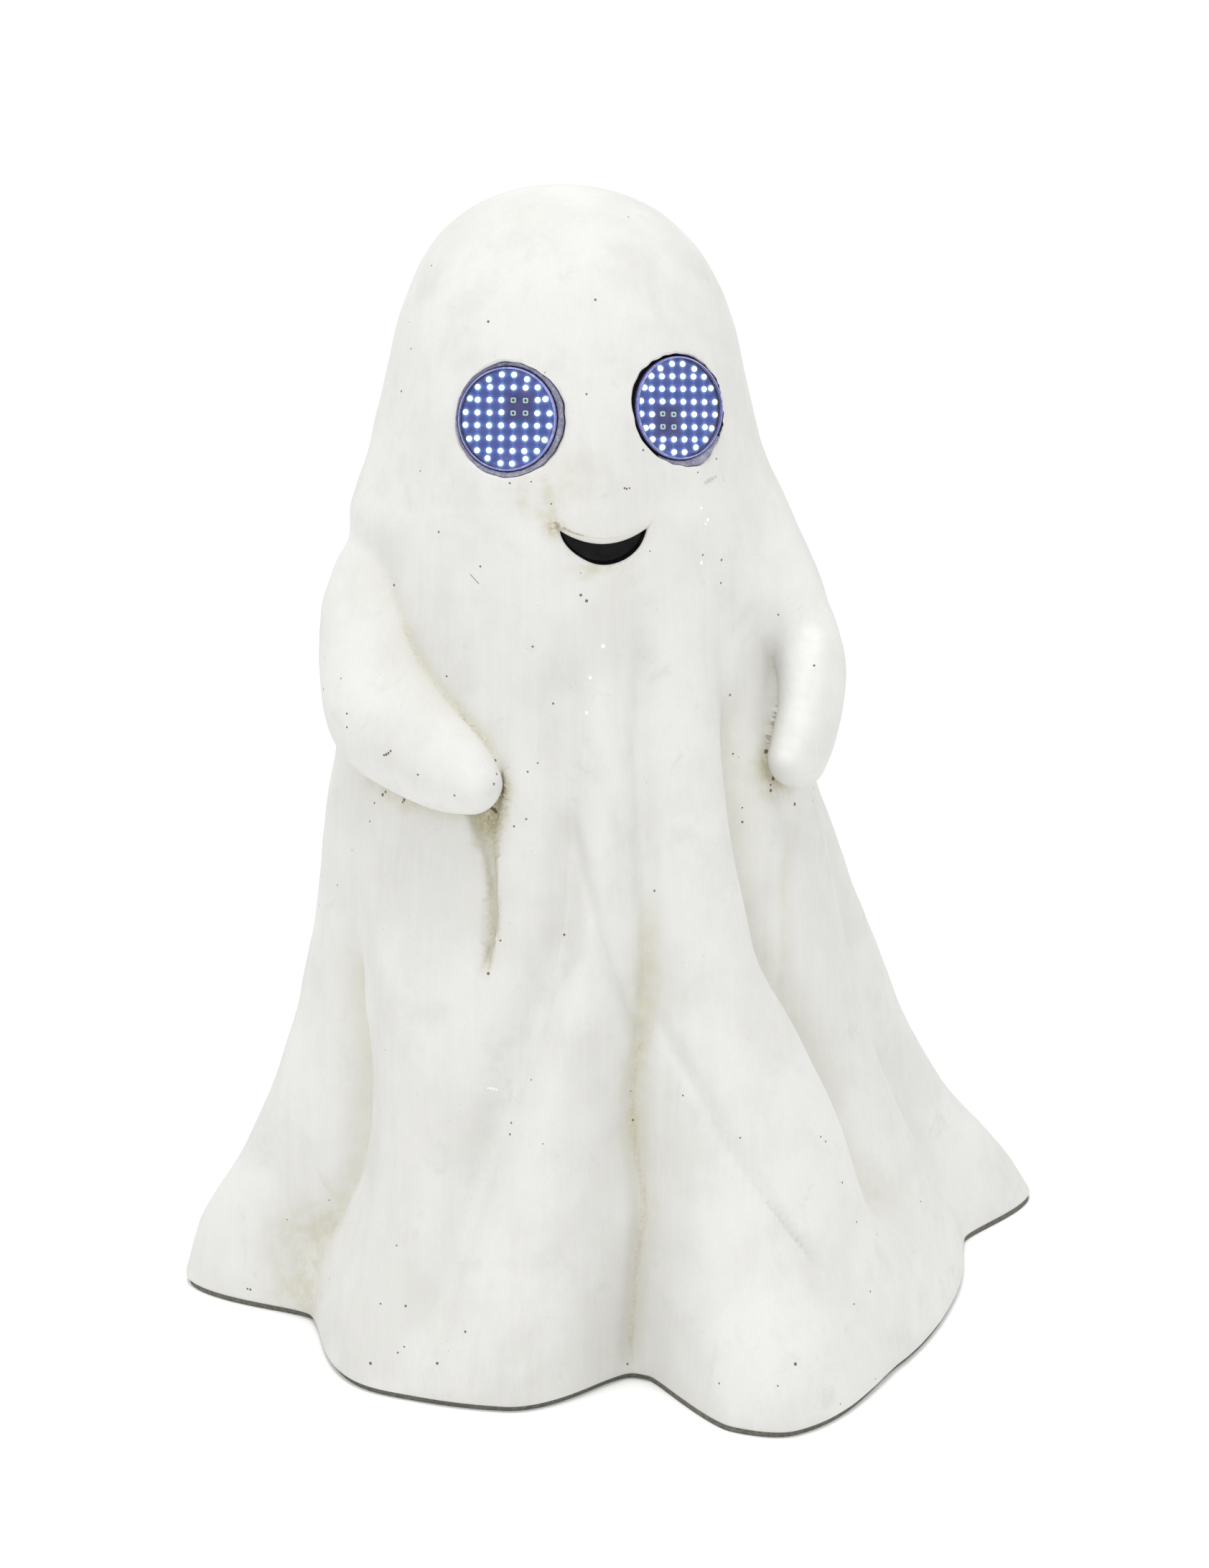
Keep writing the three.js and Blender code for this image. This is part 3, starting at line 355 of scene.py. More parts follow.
def ring_lathe(profile, seg=64, M=None):
    """ring of revolution from a closed profile, listed anticlockwise in (radius, height)"""
    a = np.arange(seg) * 2 * np.pi / seg; n = len(profile)
    V = np.concatenate([np.stack([r * np.cos(a), r * np.sin(a), np.full(seg, z)], -1) for r, z in profile])
    F = []
    for k in range(n):
        b = ((k + 1) % n) * seg
        for i in range(seg):
            j = (i + 1) % seg
            F.append((k * seg + i, k * seg + j, b + j, b + i))
    return (V if M is None else place(M, V)), F


def join_parts(parts):
    V, F, off = [], [], 0
    mi = []
    for p in parts:
        v, f = p[0], p[1]
        m = p[2] if len(p) > 2 else 0
        V.append(np.asarray(v, float)); F += [tuple(i + off for i in q) for q in f]
        mi += [m] * len(f) if np.isscalar(m) else list(m)
        off += len(v)
    return np.concatenate(V), F, mi


def boolean(o, cutter, op="DIFFERENCE"):
    md = o.modifiers.new("b", "BOOLEAN")
    md.operation = op; md.object = cutter; md.solver = "MANIFOLD"
    try:
        md.material_mode = "INDEX"
    except Exception:
        pass
    dg = bpy.context.evaluated_depsgraph_get()
    me = bpy.data.meshes.new_from_object(o.evaluated_get(dg), preserve_all_data_layers=True, depsgraph=dg)
    o.modifiers.clear()
    old = o.data; o.data = me; bpy.data.meshes.remove(old)
    cm = cutter.data; bpy.data.objects.remove(cutter); bpy.data.meshes.remove(cm)
    return o


def recalc(o):
    bm = bmesh.new(); bm.from_mesh(o.data)
    bmesh.ops.recalc_face_normals(bm, faces=bm.faces)
    bm.to_mesh(o.data); bm.free()
    return o


# ------------------------------------------------------------------ the body's own surface
NF = 290
COUNTS = [int(round(c * 5.6)) for c in COLS[:13]] + [int(round(c * 2.5)) for c in COLS[13:]]
NCOL = sum(COUNTS); NFRONT = sum(COUNTS[:13])
UNI = np.concatenate([-103 + (106.5 + 103) * np.arange(NFRONT) / NFRONT, 106.5 + (257 - 106.5) * np.arange(NCOL - NFRONT) / (NCOL - NFRONT)])
ZL = np.concatenate([[0, 1.2, 2.2, 2.45, 2.7, 3.0, 3.8, 5.2], np.arange(6.8, 336, 2.75), np.arange(336.5, 364, 1.7), np.arange(365.5, 440, 2.1)])
_z = 440.0; _t = []
while _z < 474.6:
    _t.append(_z); _z += max(0.32, 2.1 * min(1, math.sqrt((TOP - _z) / 34.0)))
ZL = np.concatenate([ZL, _t, [475.2, 475.7]])


def col_row(z):
    c = columns(z, COUNTS)
    w = float(sstep(258, 345, z))
    return c * (1 - w) + UNI * w


def noise_disp(P):
    """slow unevenness of the cast surface, mm"""
    x, y, z = P[:, 0], P[:, 1], P[:, 2]
    n = np.zeros(len(P)); rs = np.random.RandomState(11)
    for wl, amp in ((64, .34), (37, .22), (21, .14), (12, .08), (7.5, .045)):
        for _ in range(7):
            d = rs.normal(size=3); d /= np.linalg.norm(d); d[2] *= 0.55
            n += amp / 2.6 * np.sin((x * d[0] + y * d[1] + z * d[2]) * 2 * np.pi / wl + rs.uniform(0, 6.28))
    return n


def shell_surface():
    TH = np.array([col_row(z) for z in ZL]); Z = np.repeat(ZL[:, None], NCOL, 1)
    R = np.array([radius_row(TH[i], ZL[i]) for i in range(len(ZL))])
    R = with_arms(TH.ravel(), Z.ravel(), R.ravel()).reshape(R.shape)
    CX = np.array([float(LX(z)) for z in ZL])[:, None]
    s, c = np.sin(np.radians(TH)), np.cos(np.radians(TH))
    P = np.stack([CX + R * s, -R * c, Z], -1)
    d = noise_disp(P.reshape(-1, 3)).reshape(R.shape)
    quiet = np.ones_like(d)
    back = (TH + 720) % 360 - 180
    quiet *= 1 - (1 - sstep(50, 66, np.abs(104 * np.tan(np.radians(np.clip(back, -60, 60)))))) * (1 - sstep(50, 66, np.abs(Z - 156))) * (np.abs(back) < 60)
    quiet *= sstep(0, 8, Z) * (1 - sstep(462, 475, Z))
    R = R + d * quiet
    P = np.stack([CX + R * s, -R * c, Z], -1)
    return [P[i] for i in range(len(ZL))]


def limb_mesh(A, sides=72, m=110):
    """the arm itself, as a fine tapering tube with round ends"""
    C = limb_line(A, m)
    T = np.gradient(C[:, :3], axis=0); T /= np.linalg.norm(T, axis=1)[:, None]
    u = np.array([0, 1.0, 0]); a = np.arange(sides) * 2 * np.pi / sides; R = []

    def ring(c, t, r, u):
        v = np.cross(t, u)
        return c + r * (np.cos(a)[:, None] * u + np.sin(a)[:, None] * v)
    for i in range(m):
        t = T[i]; u = u - u.dot(t) * t; u /= np.linalg.norm(u)
        c, r = C[i, :3], C[i, 3]
        if i == 0:
            for e in (86, 78, 68, 56, 42, 28, 14):
                R.append(ring(c - t * r * math.sin(math.radians(e)), t, r * math.cos(math.radians(e)), u))
        R.append(ring(c, t, r, u))
        if i == m - 1:
            for e in (6, 12, 19, 26, 33, 41, 49, 57, 65, 73, 81, 87):
                R.append(ring(c + t * r * math.sin(math.radians(e)), t, r * math.cos(math.radians(e)), u))
    return rings_mesh(R)


_ZF = np.arange(170, 384, 1.0); _TF = np.arange(-180, 180.5, .5)
_RF = np.array([radius_row(_TF, z) for z in _ZF])
_NF = 1 / np.sqrt(1 + np.gradient(_RF, axis=0) ** 2 + (np.gradient(_RF, axis=1) / np.radians(.5) / _RF) ** 2)


def grid_value(G, th, z):
    i = np.clip(z - _ZF[0], 0, len(_ZF) - 1.001); j = np.clip((wrap(th) + 180) * 2, 0, len(_TF) - 1.001)
    a, b = i.astype(int), j.astype(int); u, v = i - a, j - b
    return (G[a, b] * (1 - v) + G[a, b + 1] * v) * (1 - u) + (G[a + 1, b] * (1 - v) + G[a + 1, b + 1] * v) * u


def parts_dist(P):
    dx = P[:, 0] - LX(P[:, 2]); th = np.degrees(np.arctan2(dx, -P[:, 1]))
    db = (np.hypot(dx, P[:, 1]) - grid_value(_RF, th, P[:, 2])) * grid_value(_NF, th, P[:, 2])
    return th, db, tube_dist(P, LINE["R"]), tube_dist(P, LINE["L"])


def field(P):
    """below zero inside body and arms: a tight crease in front, a wide soft run at the shoulders and behind"""
    th, db, dr, dl = parts_dist(P)
    d = smin(db, dr, 2.0 + 24.0 * arm_blend(th, P[:, 2], "R"))
    d = smin(d, dl, 2.0 + 24.0 * arm_blend(th, P[:, 2], "L"))
    return d - noise_disp(P)


def settle(P, rounds, limit=2.5):
    P = P.copy(); h = .2
    for _ in range(rounds):
        f = field(P); g = np.stack([(field(P + np.eye(3)[i] * h) - f) / h for i in range(3)], -1)
        n = (g ** 2).sum(1); st = (f / np.maximum(n, .25))[:, None] * g
        L = np.linalg.norm(st, axis=1); st *= np.minimum(1, limit / np.maximum(L, 1e-9))[:, None]
        P = P - st
    return P


def refine_arms(o):
    """finer triangles along the arms' creases and the wedge, then every point near the arms drawn onto the blended surface"""
    bm = bmesh.new(); bm.from_mesh(o.data)

    def coords():
        bm.verts.ensure_lookup_table()
        return np.array([v.co[:] for v in bm.verts]) * 1000

    def zone(P):
        """0..1, how much a point belongs to the area redrawn"""
        lo, hi = P[:, 2] > 176, P[:, 2] < 378
        w = np.zeros(len(P)); k = np.nonzero(lo & hi)[0]
        th, db, dr, dl = parts_dist(P[k])
        w[k] = 1 - sstep(26, 34, np.minimum(dr, dl))
        wz = sstep(176, 182, P[k, 2]) * (1 - sstep(262, 268, P[k, 2])) * (np.abs(wrap(th + 30.3)) < 9)
        w[k] = np.maximum(w[k], wz)
        k = np.nonzero(w > 0)[0]; f = field(P[k])
        deep = (f < -5.6) & (f > -15) & outer[k] & (dl_min[k] < 9)
        w[k[(np.abs(f) > 5.6) & ~deep]] = 0
        return w

    def fine(P):
        w = np.zeros(len(P), bool); k = np.nonzero((P[:, 2] > 176) & (P[:, 2] < 350))[0]
        th, db, dr, dl = parts_dist(P[k])
        a = (np.maximum(np.abs(db), np.abs(dr)) < 5.5) & (arm_blend(th, P[k, 2], "R") < .6)
        b = (np.maximum(np.abs(db), np.abs(dl)) < 5.5) & (arm_blend(th, P[k, 2], "L") < .6)
        dl = wrap(th - WEDGE[0](P[k, 2])) * 1.6; dr = wrap(WEDGE[1](P[k, 2]) - th) * 1.6
        c = (dl > -3) & (dr > -3) & (P[k, 2] > 174) & (P[k, 2] < 262) & (np.abs(db) < 6)
        w[k] = a | b | c
        return w

    def facing():
        """which points look away from the axis, and how near each is to the left arm"""
        bm.normal_update()
        N = np.array([v.normal[:] for v in bm.verts]); P = coords(); dx = P[:, 0] - LX(P[:, 2]); r = np.hypot(dx, P[:, 1]) + 1e-9
        return (N[:, 0] * dx + N[:, 1] * P[:, 1]) / r > .1, parts_dist(P)[3]

    P = coords(); outer, dl_min = facing(); z = zone(P); mv = z > 0
    P[mv] += (settle(P[mv], 7) - P[mv]) * z[mv][:, None]
    for v, p in zip(bm.verts, P): v.co = p / 1000
    for limit in (1.7, 1.15):
        P = coords(); near = fine(P)
        fs = [f for f in bm.faces if any(near[v.index] for v in f.verts)]
        bmesh.ops.triangulate(bm, faces=[f for f in fs if len(f.verts) > 3])
        P = coords(); near = fine(P)
        es = [e for e in bm.edges if near[e.verts[0].index] and near[e.verts[1].index] and e.calc_length() * 1000 > limit]
        bmesh.ops.subdivide_edges(bm, edges=es, cuts=1, use_grid_fill=True)
        bm.verts.index_update()
    P = coords(); near = fine(P)
    fs = [f for f in bm.faces if len(f.verts) > 3 and any(near[v.index] for v in f.verts)]
    bmesh.ops.triangulate(bm, faces=fs)
    P = coords(); outer, dl_min = facing(); z = zone(P); near = fine(P)
    mv = z > 0
    P[mv] += (settle(P[mv], 2) - P[mv]) * z[mv][:, None]
    E = np.array([(e.verts[0].index, e.verts[1].index) for e in bm.edges])
    E = E[near[E[:, 0]] | near[E[:, 1]]]; idx = np.nonzero(near)[0]
    for _ in range(3):
        S = np.zeros_like(P); N = np.zeros(len(P))
        for a, b in ((0, 1), (1, 0)):
            np.add.at(S, E[:, a], P[E[:, b]]); np.add.at(N, E[:, a], 1)
        P[idx] = P[idx] * .4 + (S[idx] / np.maximum(N[idx], 1)[:, None]) * .6
        P[idx] = settle(P[idx], 1)
    P[mv] += (settle(P[mv], 1) - P[mv]) * z[mv][:, None]
    for v, p in zip(bm.verts, P): v.co = p / 1000
    # the bottom of the left arm's crease is evened out
    th, db, dr, dl = parts_dist(P); outer, _ = facing()
    sel = outer & (dl < 6.5) & (np.abs(db) < 7) & (P[:, 2] > 262) & (P[:, 2] < 336) & (th > 0) & (th < 75)
    idx = np.nonzero(sel)[0]; E = np.array([(e.verts[0].index, e.verts[1].index) for e in bm.edges]); E = E[sel[E[:, 0]] | sel[E[:, 1]]]
    for _ in range(9):
        S = np.zeros_like(P); N = np.zeros(len(P))
        for a, b in ((0, 1), (1, 0)):
            np.add.at(S, E[:, a], P[E[:, b]]); np.add.at(N, E[:, a], 1)
        P[idx] = P[idx] * .4 + (S[idx] / np.maximum(N[idx], 1)[:, None]) * .6
    for v, p in zip(bm.verts, P): v.co = p / 1000
    bm.to_mesh(o.data); bm.free()


def face_radius(th, z):
    r = ellipse(th, z)
    for a, zc, dd, wa, wz in BULGES:
        u = np.radians(wrap(th - a)) * r
        r = r + dd * np.exp(-((u / wa) ** 2) - ((z - zc) / wz) ** 2)
    return r


def eye_frame(key):
    z, at, face = EYE_POS[key]
    th, ph, t = math.radians(at), math.radians(face), math.radians(EYE_TILT)
    r = float(radius_row(np.array([at], float), z)[0])
    o = np.array([float(LX(z)) + r * math.sin(th), -r * math.cos(th), z])
    n = np.array([math.sin(ph) * math.cos(t), -math.cos(ph) * math.cos(t), math.sin(t)])
    x = np.array([math.cos(ph), math.sin(ph), 0]); y = np.cross(n, x)
    M = np.eye(4); M[:3, 0] = x; M[:3, 1] = y; M[:3, 2] = n; M[:3, 3] = o
    return M


EYE = {"l": eye_frame("l"), "r": eye_frame("r")}


def surf_w(M, u, v):
    """height of the body's surface above the eye's own plane at (u, v)"""
    w = np.zeros(len(u))
    for _ in range(30):
        P = place(M, np.stack([u, v, w], -1))
        dx = P[:, 0] - LX(P[:, 2]); th = np.degrees(np.arctan2(dx, -P[:, 1]))
        w = w + (face_radius(th, P[:, 2]) - np.hypot(dx, P[:, 1])) * 0.8
    return w


# outline of each socket: angle (0 to the right, 90 up), radius
SOCK = {
    "r": ([-180, -150, -120, -90, -60, -30, 0, 30, 60, 90, 120, 150, 180], [21.0, 21.1, 21.6, 22.2, 22.5, 22.6, 22.6, 22.5, 22.1, 21.7, 21.3, 21.1, 21.0]),
    "l": ([-180, -150, -120, -97, -80, -70, -55, -30, 0, 30, 60, 90, 115, 140, 155, 180], [21.7, 21.5, 21.6, 22.5, 23.3, 23.2, 22.1, 21.4, 21.15, 21.3, 21.1, 20.9, 21.2, 22.3, 22.5, 21.7]),
}


def sock_r(key, a):
    xs, ys = SOCK[key]
    d = (np.degrees(a) + 180) % 360 - 180
    r = np.interp(d, xs, ys)
    rs = np.random.RandomState(5 if key == "r" else 8)
    for k in range(3, 26):
        amp = (0.11 if k < 9 else 0.05) * (1.0 if key == "r" else 1.25)
        r = r + amp * rs.uniform(0.2, 1) * np.cos(k * a + rs.uniform(0, 6.28))
    return r


def socket_cutter(key, seg=220):
    M = EYE[key]
    a = -np.arange(seg) * 2 * np.pi / seg
    r0 = sock_r(key, a)
    rings, prof = [], [(3.2, 7), (1.25, .55), (.95, .0), (.62, -.13), (.36, -.36), (.16, -.72), (.05, -1.2), (0, -1.8)]
    for off, dep in prof:
        r = r0 + off; u, v = r * np.cos(a), r * np.sin(a)
        w = surf_w(M, u, v) + dep
        if off > 3: w = np.full(seg, 7.0)
        rings.append(place(M, np.stack([u, v, w], -1)))
    for k, (rr, w) in enumerate([(0.0, -3.6), (0.0, -4.9)]):
        r = np.maximum(r0 + rr, 20.9); rings.append(place(M, np.stack([r * np.cos(a), r * np.sin(a), np.full(seg, w)], -1)))
    for r, w in ((20.45, -5.2), (20.45, -27.0)):
        rings.append(place(M, np.stack([r * np.cos(a), r * np.sin(a), np.full(seg, w)], -1)))
    return rings_mesh(rings)


# mouth: outer edge of the recess and edge of the black floor, in (x, z)
def quad(p, c, q, n):
    t = np.linspace(0, 1, n, endpoint=False)[:, None]
    p, c, q = map(np.array, (p, c, q))
    return (1 - t) ** 2 * p + 2 * t * (1 - t) * c + t * t * q


def mouth_outline():
    return np.concatenate([quad((-16.8, 359.5), (3, 346.2), (23.2, 357.8), 70), quad((23.2, 357.8), (20, 346), (12, 342.6), 40),
                           quad((12, 342.6), (3.5, 339.2), (-4, 343.0), 34), quad((-4, 343.0), (-13, 347), (-16.8, 359.5), 46)])


def mouth_inner():
    return np.concatenate([quad((-13.4, 355.4), (3.4, 344.8), (20.6, 354.8), 70), quad((20.6, 354.8), (19.0, 346.9), (11.6, 343.4), 40),
                           quad((11.6, 343.4), (3.5, 339.9), (-3.6, 343.8), 34), quad((-3.6, 343.8), (-12.4, 348.6), (-13.4, 355.4), 46)])


def mouth_cutter():
    A, B = mouth_outline(), mouth_inner()
    c = np.array([3.2, 349.0])

    def out(P, k):
        t = np.roll(P, -1, 0) - np.roll(P, 1, 0)
        n = np.stack([t[:, 1], -t[:, 0]], -1); n /= np.linalg.norm(n, axis=1)[:, None]
        n *= -1
        s = np.sign((n * (P - c)).sum(1).mean())
        return P + n * s * k

    def ysurf(P):
        y = np.full(len(P), -82.0)
        for _ in range(24):
            dx = P[:, 0] - LX(P[:, 1]); th = np.degrees(np.arctan2(dx, -y))
            y = y - (face_radius(th, P[:, 1]) - np.hypot(dx, y)) * 0.9
        return y
    rings = []; mi = []
    for P, d in ((out(A, 1.4), -7), (out(A, .55), -.5), (out(A, .2), 0.02), (A * .85 + B * .15, .22), (A * .5 + B * .5, .6), (A * .15 + B * .85, 1.1), (B, 1.7)):
        y = ysurf(P) + d if d > -5 else np.full(len(P), -92.0)
        rings.append(np.stack([P[:, 0], y, P[:, 1]], -1))
    for k, y in ((.02, -77.4), (.08, -75.6), (.3, -74.9)):
        P = B + (c - B) * k
        rings.append(np.stack([P[:, 0], np.full(len(P), y), P[:, 1]], -1))
    return rings_mesh(rings)


def rrect(x0, x1, z0, z1, r, n=8):
    P = []
    for cx, cz, a0 in ((x1 - r, z1 - r, 0), (x0 + r, z1 - r, 90), (x0 + r, z0 + r, 180), (x1 - r, z0 + r, 270)):
        for i in range(n + 1):
            a = math.radians(a0 + 90 * i / n); P.append((cx + r * math.cos(a), cz + r * math.sin(a)))
    return np.array(P)


def prism_y(secs):
    """solid through sections (outline in x and z, y)"""
    return rings_mesh([np.stack([P[:, 0], np.full(len(P), y), P[:, 1]], -1) for P, y in secs])


# ------------------------------------------------------------------ materials
class Nodes:
    def __init__(self, name):
        self.m = bpy.data.materials.new(name); self.m.use_nodes = True
        self.t = self.m.node_tree; self.t.nodes.clear()
        self.out = self.t.nodes.new("ShaderNodeOutputMaterial")

    def add(self, kind, **kw):
        n = self.t.nodes.new(kind)
        for k, v in kw.items():
            if hasattr(n, k):
                setattr(n, k, v)
        return n

    def link(self, a, b):
        self.t.links.new(a, b)

    def put(self, sock, v):
        if isinstance(v, bpy.types.NodeSocket):
            self.t.links.new(v, sock)
        elif v is not None:
            sock.default_value = v

    def math(self, op, a, b=None, c=None, clamp=False):
        n = self.add("ShaderNodeMath", operation=op, use_clamp=clamp)
        self.put(n.inputs[0], a)
        if b is not None: self.put(n.inputs[1], b)
        if c is not None: self.put(n.inputs[2], c)
        return n.outputs[0]

    def mix(self, f, a, b, mode="MIX"):
        n = self.add("ShaderNodeMix", data_type="RGBA", blend_type=mode, clamp_factor=True)
        self.put(n.inputs[0], f); self.put(n.inputs[6], a if isinstance(a, bpy.types.NodeSocket) else (*a, 1)); self.put(n.inputs[7], b if isinstance(b, bpy.types.NodeSocket) else (*b, 1))
        return n.outputs[2]

    def rng(self, v, a, b, c=0.0, d=1.0, smooth=True):
        n = self.add("ShaderNodeMapRange", interpolation_type="SMOOTHSTEP" if smooth else "LINEAR", clamp=True)
        self.put(n.inputs[0], v); n.inputs[1].default_value = a; n.inputs[2].default_value = b; n.inputs[3].default_value = c; n.inputs[4].default_value = d
        return n.outputs[0]

    def coords(self, scale=(1000, 1000, 1000), loc=(0, 0, 0)):
        if not hasattr(self, "tc"):
            self.tc = self.add("ShaderNodeTexCoord")
        n = self.add("ShaderNodeMapping"); self.link(self.tc.outputs["Object"], n.inputs[0])
        n.inputs["Scale"].default_value = scale; n.inputs["Location"].default_value = loc
        return n.outputs[0]

    def noise(self, size, detail=2.0, rough=0.5, vec=None, stretch=(1, 1, 1), loc=(0, 0, 0), dist=0.0):
        """noise whose features are about `size` mm across"""
        v = vec or self.coords(tuple(1000.0 / size / s for s in stretch), loc)
        n = self.add("ShaderNodeTexNoise"); self.link(v, n.inputs["Vector"])
        n.inputs["Scale"].default_value = 1.0; n.inputs["Detail"].default_value = detail; n.inputs["Roughness"].default_value = rough; n.inputs["Distortion"].default_value = dist
        return n.outputs["Fac"]

    def attr(self, name):
        n = self.add("ShaderNodeAttribute", attribute_name=name, attribute_type="GEOMETRY")
        return n.outputs["Fac"]

    def bump(self, h, dist, strength=1.0, normal=None):
        """dist in mm for a full step of h"""
        n = self.add("ShaderNodeBump"); n.inputs["Strength"].default_value = strength; n.inputs["Distance"].default_value = dist / 1000
        self.put(n.inputs["Height"], h)
        if normal is not None: self.link(normal, n.inputs["Normal"])
        return n.outputs[0]

    def shader(self, color, rough, normal=None, metal=0.0, spec=0.5, **kw):
        n = self.add("ShaderNodeBsdfPrincipled")
        self.put(n.inputs["Base Color"], color if isinstance(color, bpy.types.NodeSocket) else (*color, 1))
        self.put(n.inputs["Roughness"], rough); self.put(n.inputs["Metallic"], metal)
        n.inputs["Specular IOR Level"].default_value = spec
        for k, v in kw.items():
            s = n.inputs[k.replace("_", " ")]
            if isinstance(v, tuple) and len(v) == 3: v = (*v, 1)
            self.put(s, v)
        if normal is not None: self.link(normal, n.inputs["Normal"])
        self.link(n.outputs[0], self.out.inputs["Surface"])
        self.bsdf = n
        return self.m


# single marks found on the surface: x, y, z, radius in mm
PITS = [(-114.26, -71.65, 267.93, 0.55), (-113.48, -72.26, 268.65, 0.5), (-112.68, -72.79, 269.64, 0.45), (-115.04, -71.06, 267.5, 0.45), (-88.89, -61.44, 295.43, 0.4),
        (-127.92, -58.17, 281.3, 0.45), (-128.12, -58.98, 275.98, 0.42), (-129.03, -49.95, 293.32, 0.3), (-103.07, -80.11, 261.73, 0.42), (-89.75, -86.74, 254.61, 0.4),
        (-59.78, -78.71, 260.13, 0.4), (-55.77, -78.6, 263.4, 0.35), (-60.82, -80.99, 241.48, 0.4), (-65.52, -80.04, 238.49, 0.4), (-117.5, -37.3, 229.77, 0.4),
        (-128.7, -13.59, 195.32, 0.36), (-106.04, -37.61, 326.84, 0.5), (-112.68, -42.45, 242.28, 0.7), (-111.64, -43.66, 243.8, 0.5), (-105.28, -52.52, 242.94, 0.6),
        (-105.82, -52.09, 241.94, 0.45), (-34.6, -69.01, 406.77, 0.4), (18.63, -57.7, 377.09, 0.4), (9.82, -64.77, 373.58, 0.32), (-13.13, -72.3, 384.87, 0.4),
        (-64.48, -68.77, 373.16, 0.4), (-49.42, -75.4, 365.91, 0.32), (-56.6, -71.84, 374.1, 0.3), (-38.95, -80.62, 330.76, 0.55), (-36.78, -81.03, 328.48, 0.6),
        (-75.94, -67, 340.37, 0.4), (-90.4, -55.14, 351.8, 0.42), (19.63, -64.29, 338.12, 0.5), (11.15, -69.28, 341.73, 0.4), (19.38, -64.55, 328.94, 0.42),
        (-21.11, -76.32, 371.17, 0.4), (-20.25, -76.21, 370.83, 0.4), (40.62, -54.79, 255.79, 0.95), (43.92, -53.91, 244.18, 0.9), (42.6, -55.32, 241.97, 0.5),
        (42.54, -55.75, 239.68, 0.7), (54.44, -47.59, 230.68, 0.7), (24.16, -61.86, 282.29, 0.5), (25.48, -62.37, 257.98, 0.4), (29.36, -63.18, 235.5, 0.35),
        (29.35, -63.52, 229.57, 0.5), (58.63, -59.61, 292.1, 0.45), (-72.02, -72.47, 243.23, 0.8), (-72.81, -72, 243.72, 0.6), (-71.52, -72.84, 242.44, 0.6),
        (-72, -75.52, 264.5, 0.55), (-72.54, -82.78, 261.19, 0.5), (-74.18, -86.09, 258.22, 0.5), (-76.59, -82, 178.57, 0.6), (-74.66, -77.63, 193.77, 0.4),
        (-71.62, -82.16, 192.18, 0.4), (-167.79, 7.35, 7.83, 0.55), (-137.77, -34.03, 29.51, 0.4), (-112.01, -84.63, 38.68, 0.5), (-121.73, -80.49, 38.49, 0.4),
        (-89.8, -99.13, 32.25, 0.5), (-101.02, -96.67, 18.01, 0.6), (-115.89, -87.54, 19.64, 0.4), (-113.27, -87.95, 22.18, 0.35), (-46.17, -82.57, 193.14, 0.5),
        (-68.41, -85.43, 115.71, 0.45), (-69.23, -86.74, 111.35, 0.5), (-21.61, -88.94, 7.08, 0.45), (36.21, -143.16, 28.58, 0.7), (-126.42, -81.45, 12.77, 0.7),
        (-168.94, 8.22, 7.86, 0.5), (19.91, -109.99, 112.94, 0.4), (58.43, -95.16, 102.36, 0.4), (71.81, -95.92, 66.28, 0.4), (-135.75, -17.85, 57.72, 0.35),
        (-60.69, -88.75, 135, 0.35), (-99.9, -20.64, 400.53, 0.5), (-86.08, -11.12, 447.95, 0.4), (-69.4, -49.2, 432.23, 0.5), (-10.6, -25.38, 466.9, 0.45),
        (-19.09, -75.96, 371.01, 0.35), (-79.61, -64.97, 336.89, 0.16), (-79.39, -65.14, 336.65, 0.16), (-79.18, -65.3, 336.42, 0.16), (-78.96, -65.45, 336.18, 0.16),
        (-78.75, -65.61, 335.95, 0.16), (-78.53, -65.76, 335.71, 0.16), (-78.32, -65.91, 335.47, 0.16), (-78.1, -66.06, 335.24, 0.16), (-77.88, -66.2, 335, 0.16),
        (-77.67, -66.35, 334.76, 0.16), (-77.45, -66.49, 334.52, 0.16), (-77.23, -66.63, 334.28, 0.16), (-77.01, -66.76, 334.04, 0.16), (-76.79, -66.9, 333.8, 0.16),
        (-76.58, -67.03, 333.56, 0.16)]
CHIPS = [(13.6, -66.49, 355, 0.7), (10.85, -67.23, 359.86, 0.6), (10.48, -69.93, 338.75, 0.7), (-30.57, -82.42, 310.52, 0.8), (-35.57, -81.94, 297.95, 0.7),
        (-37, -81.94, 283.83, 0.7), (-75.98, -82.57, 129.92, 0.6), (-74.78, -82.28, 129.41, 0.6), (-73.59, -82, 128.9, 0.5), (-77.17, -82.81, 130.1, 0.5),
        (12.59, -67.31, 353.52, 0.5)]
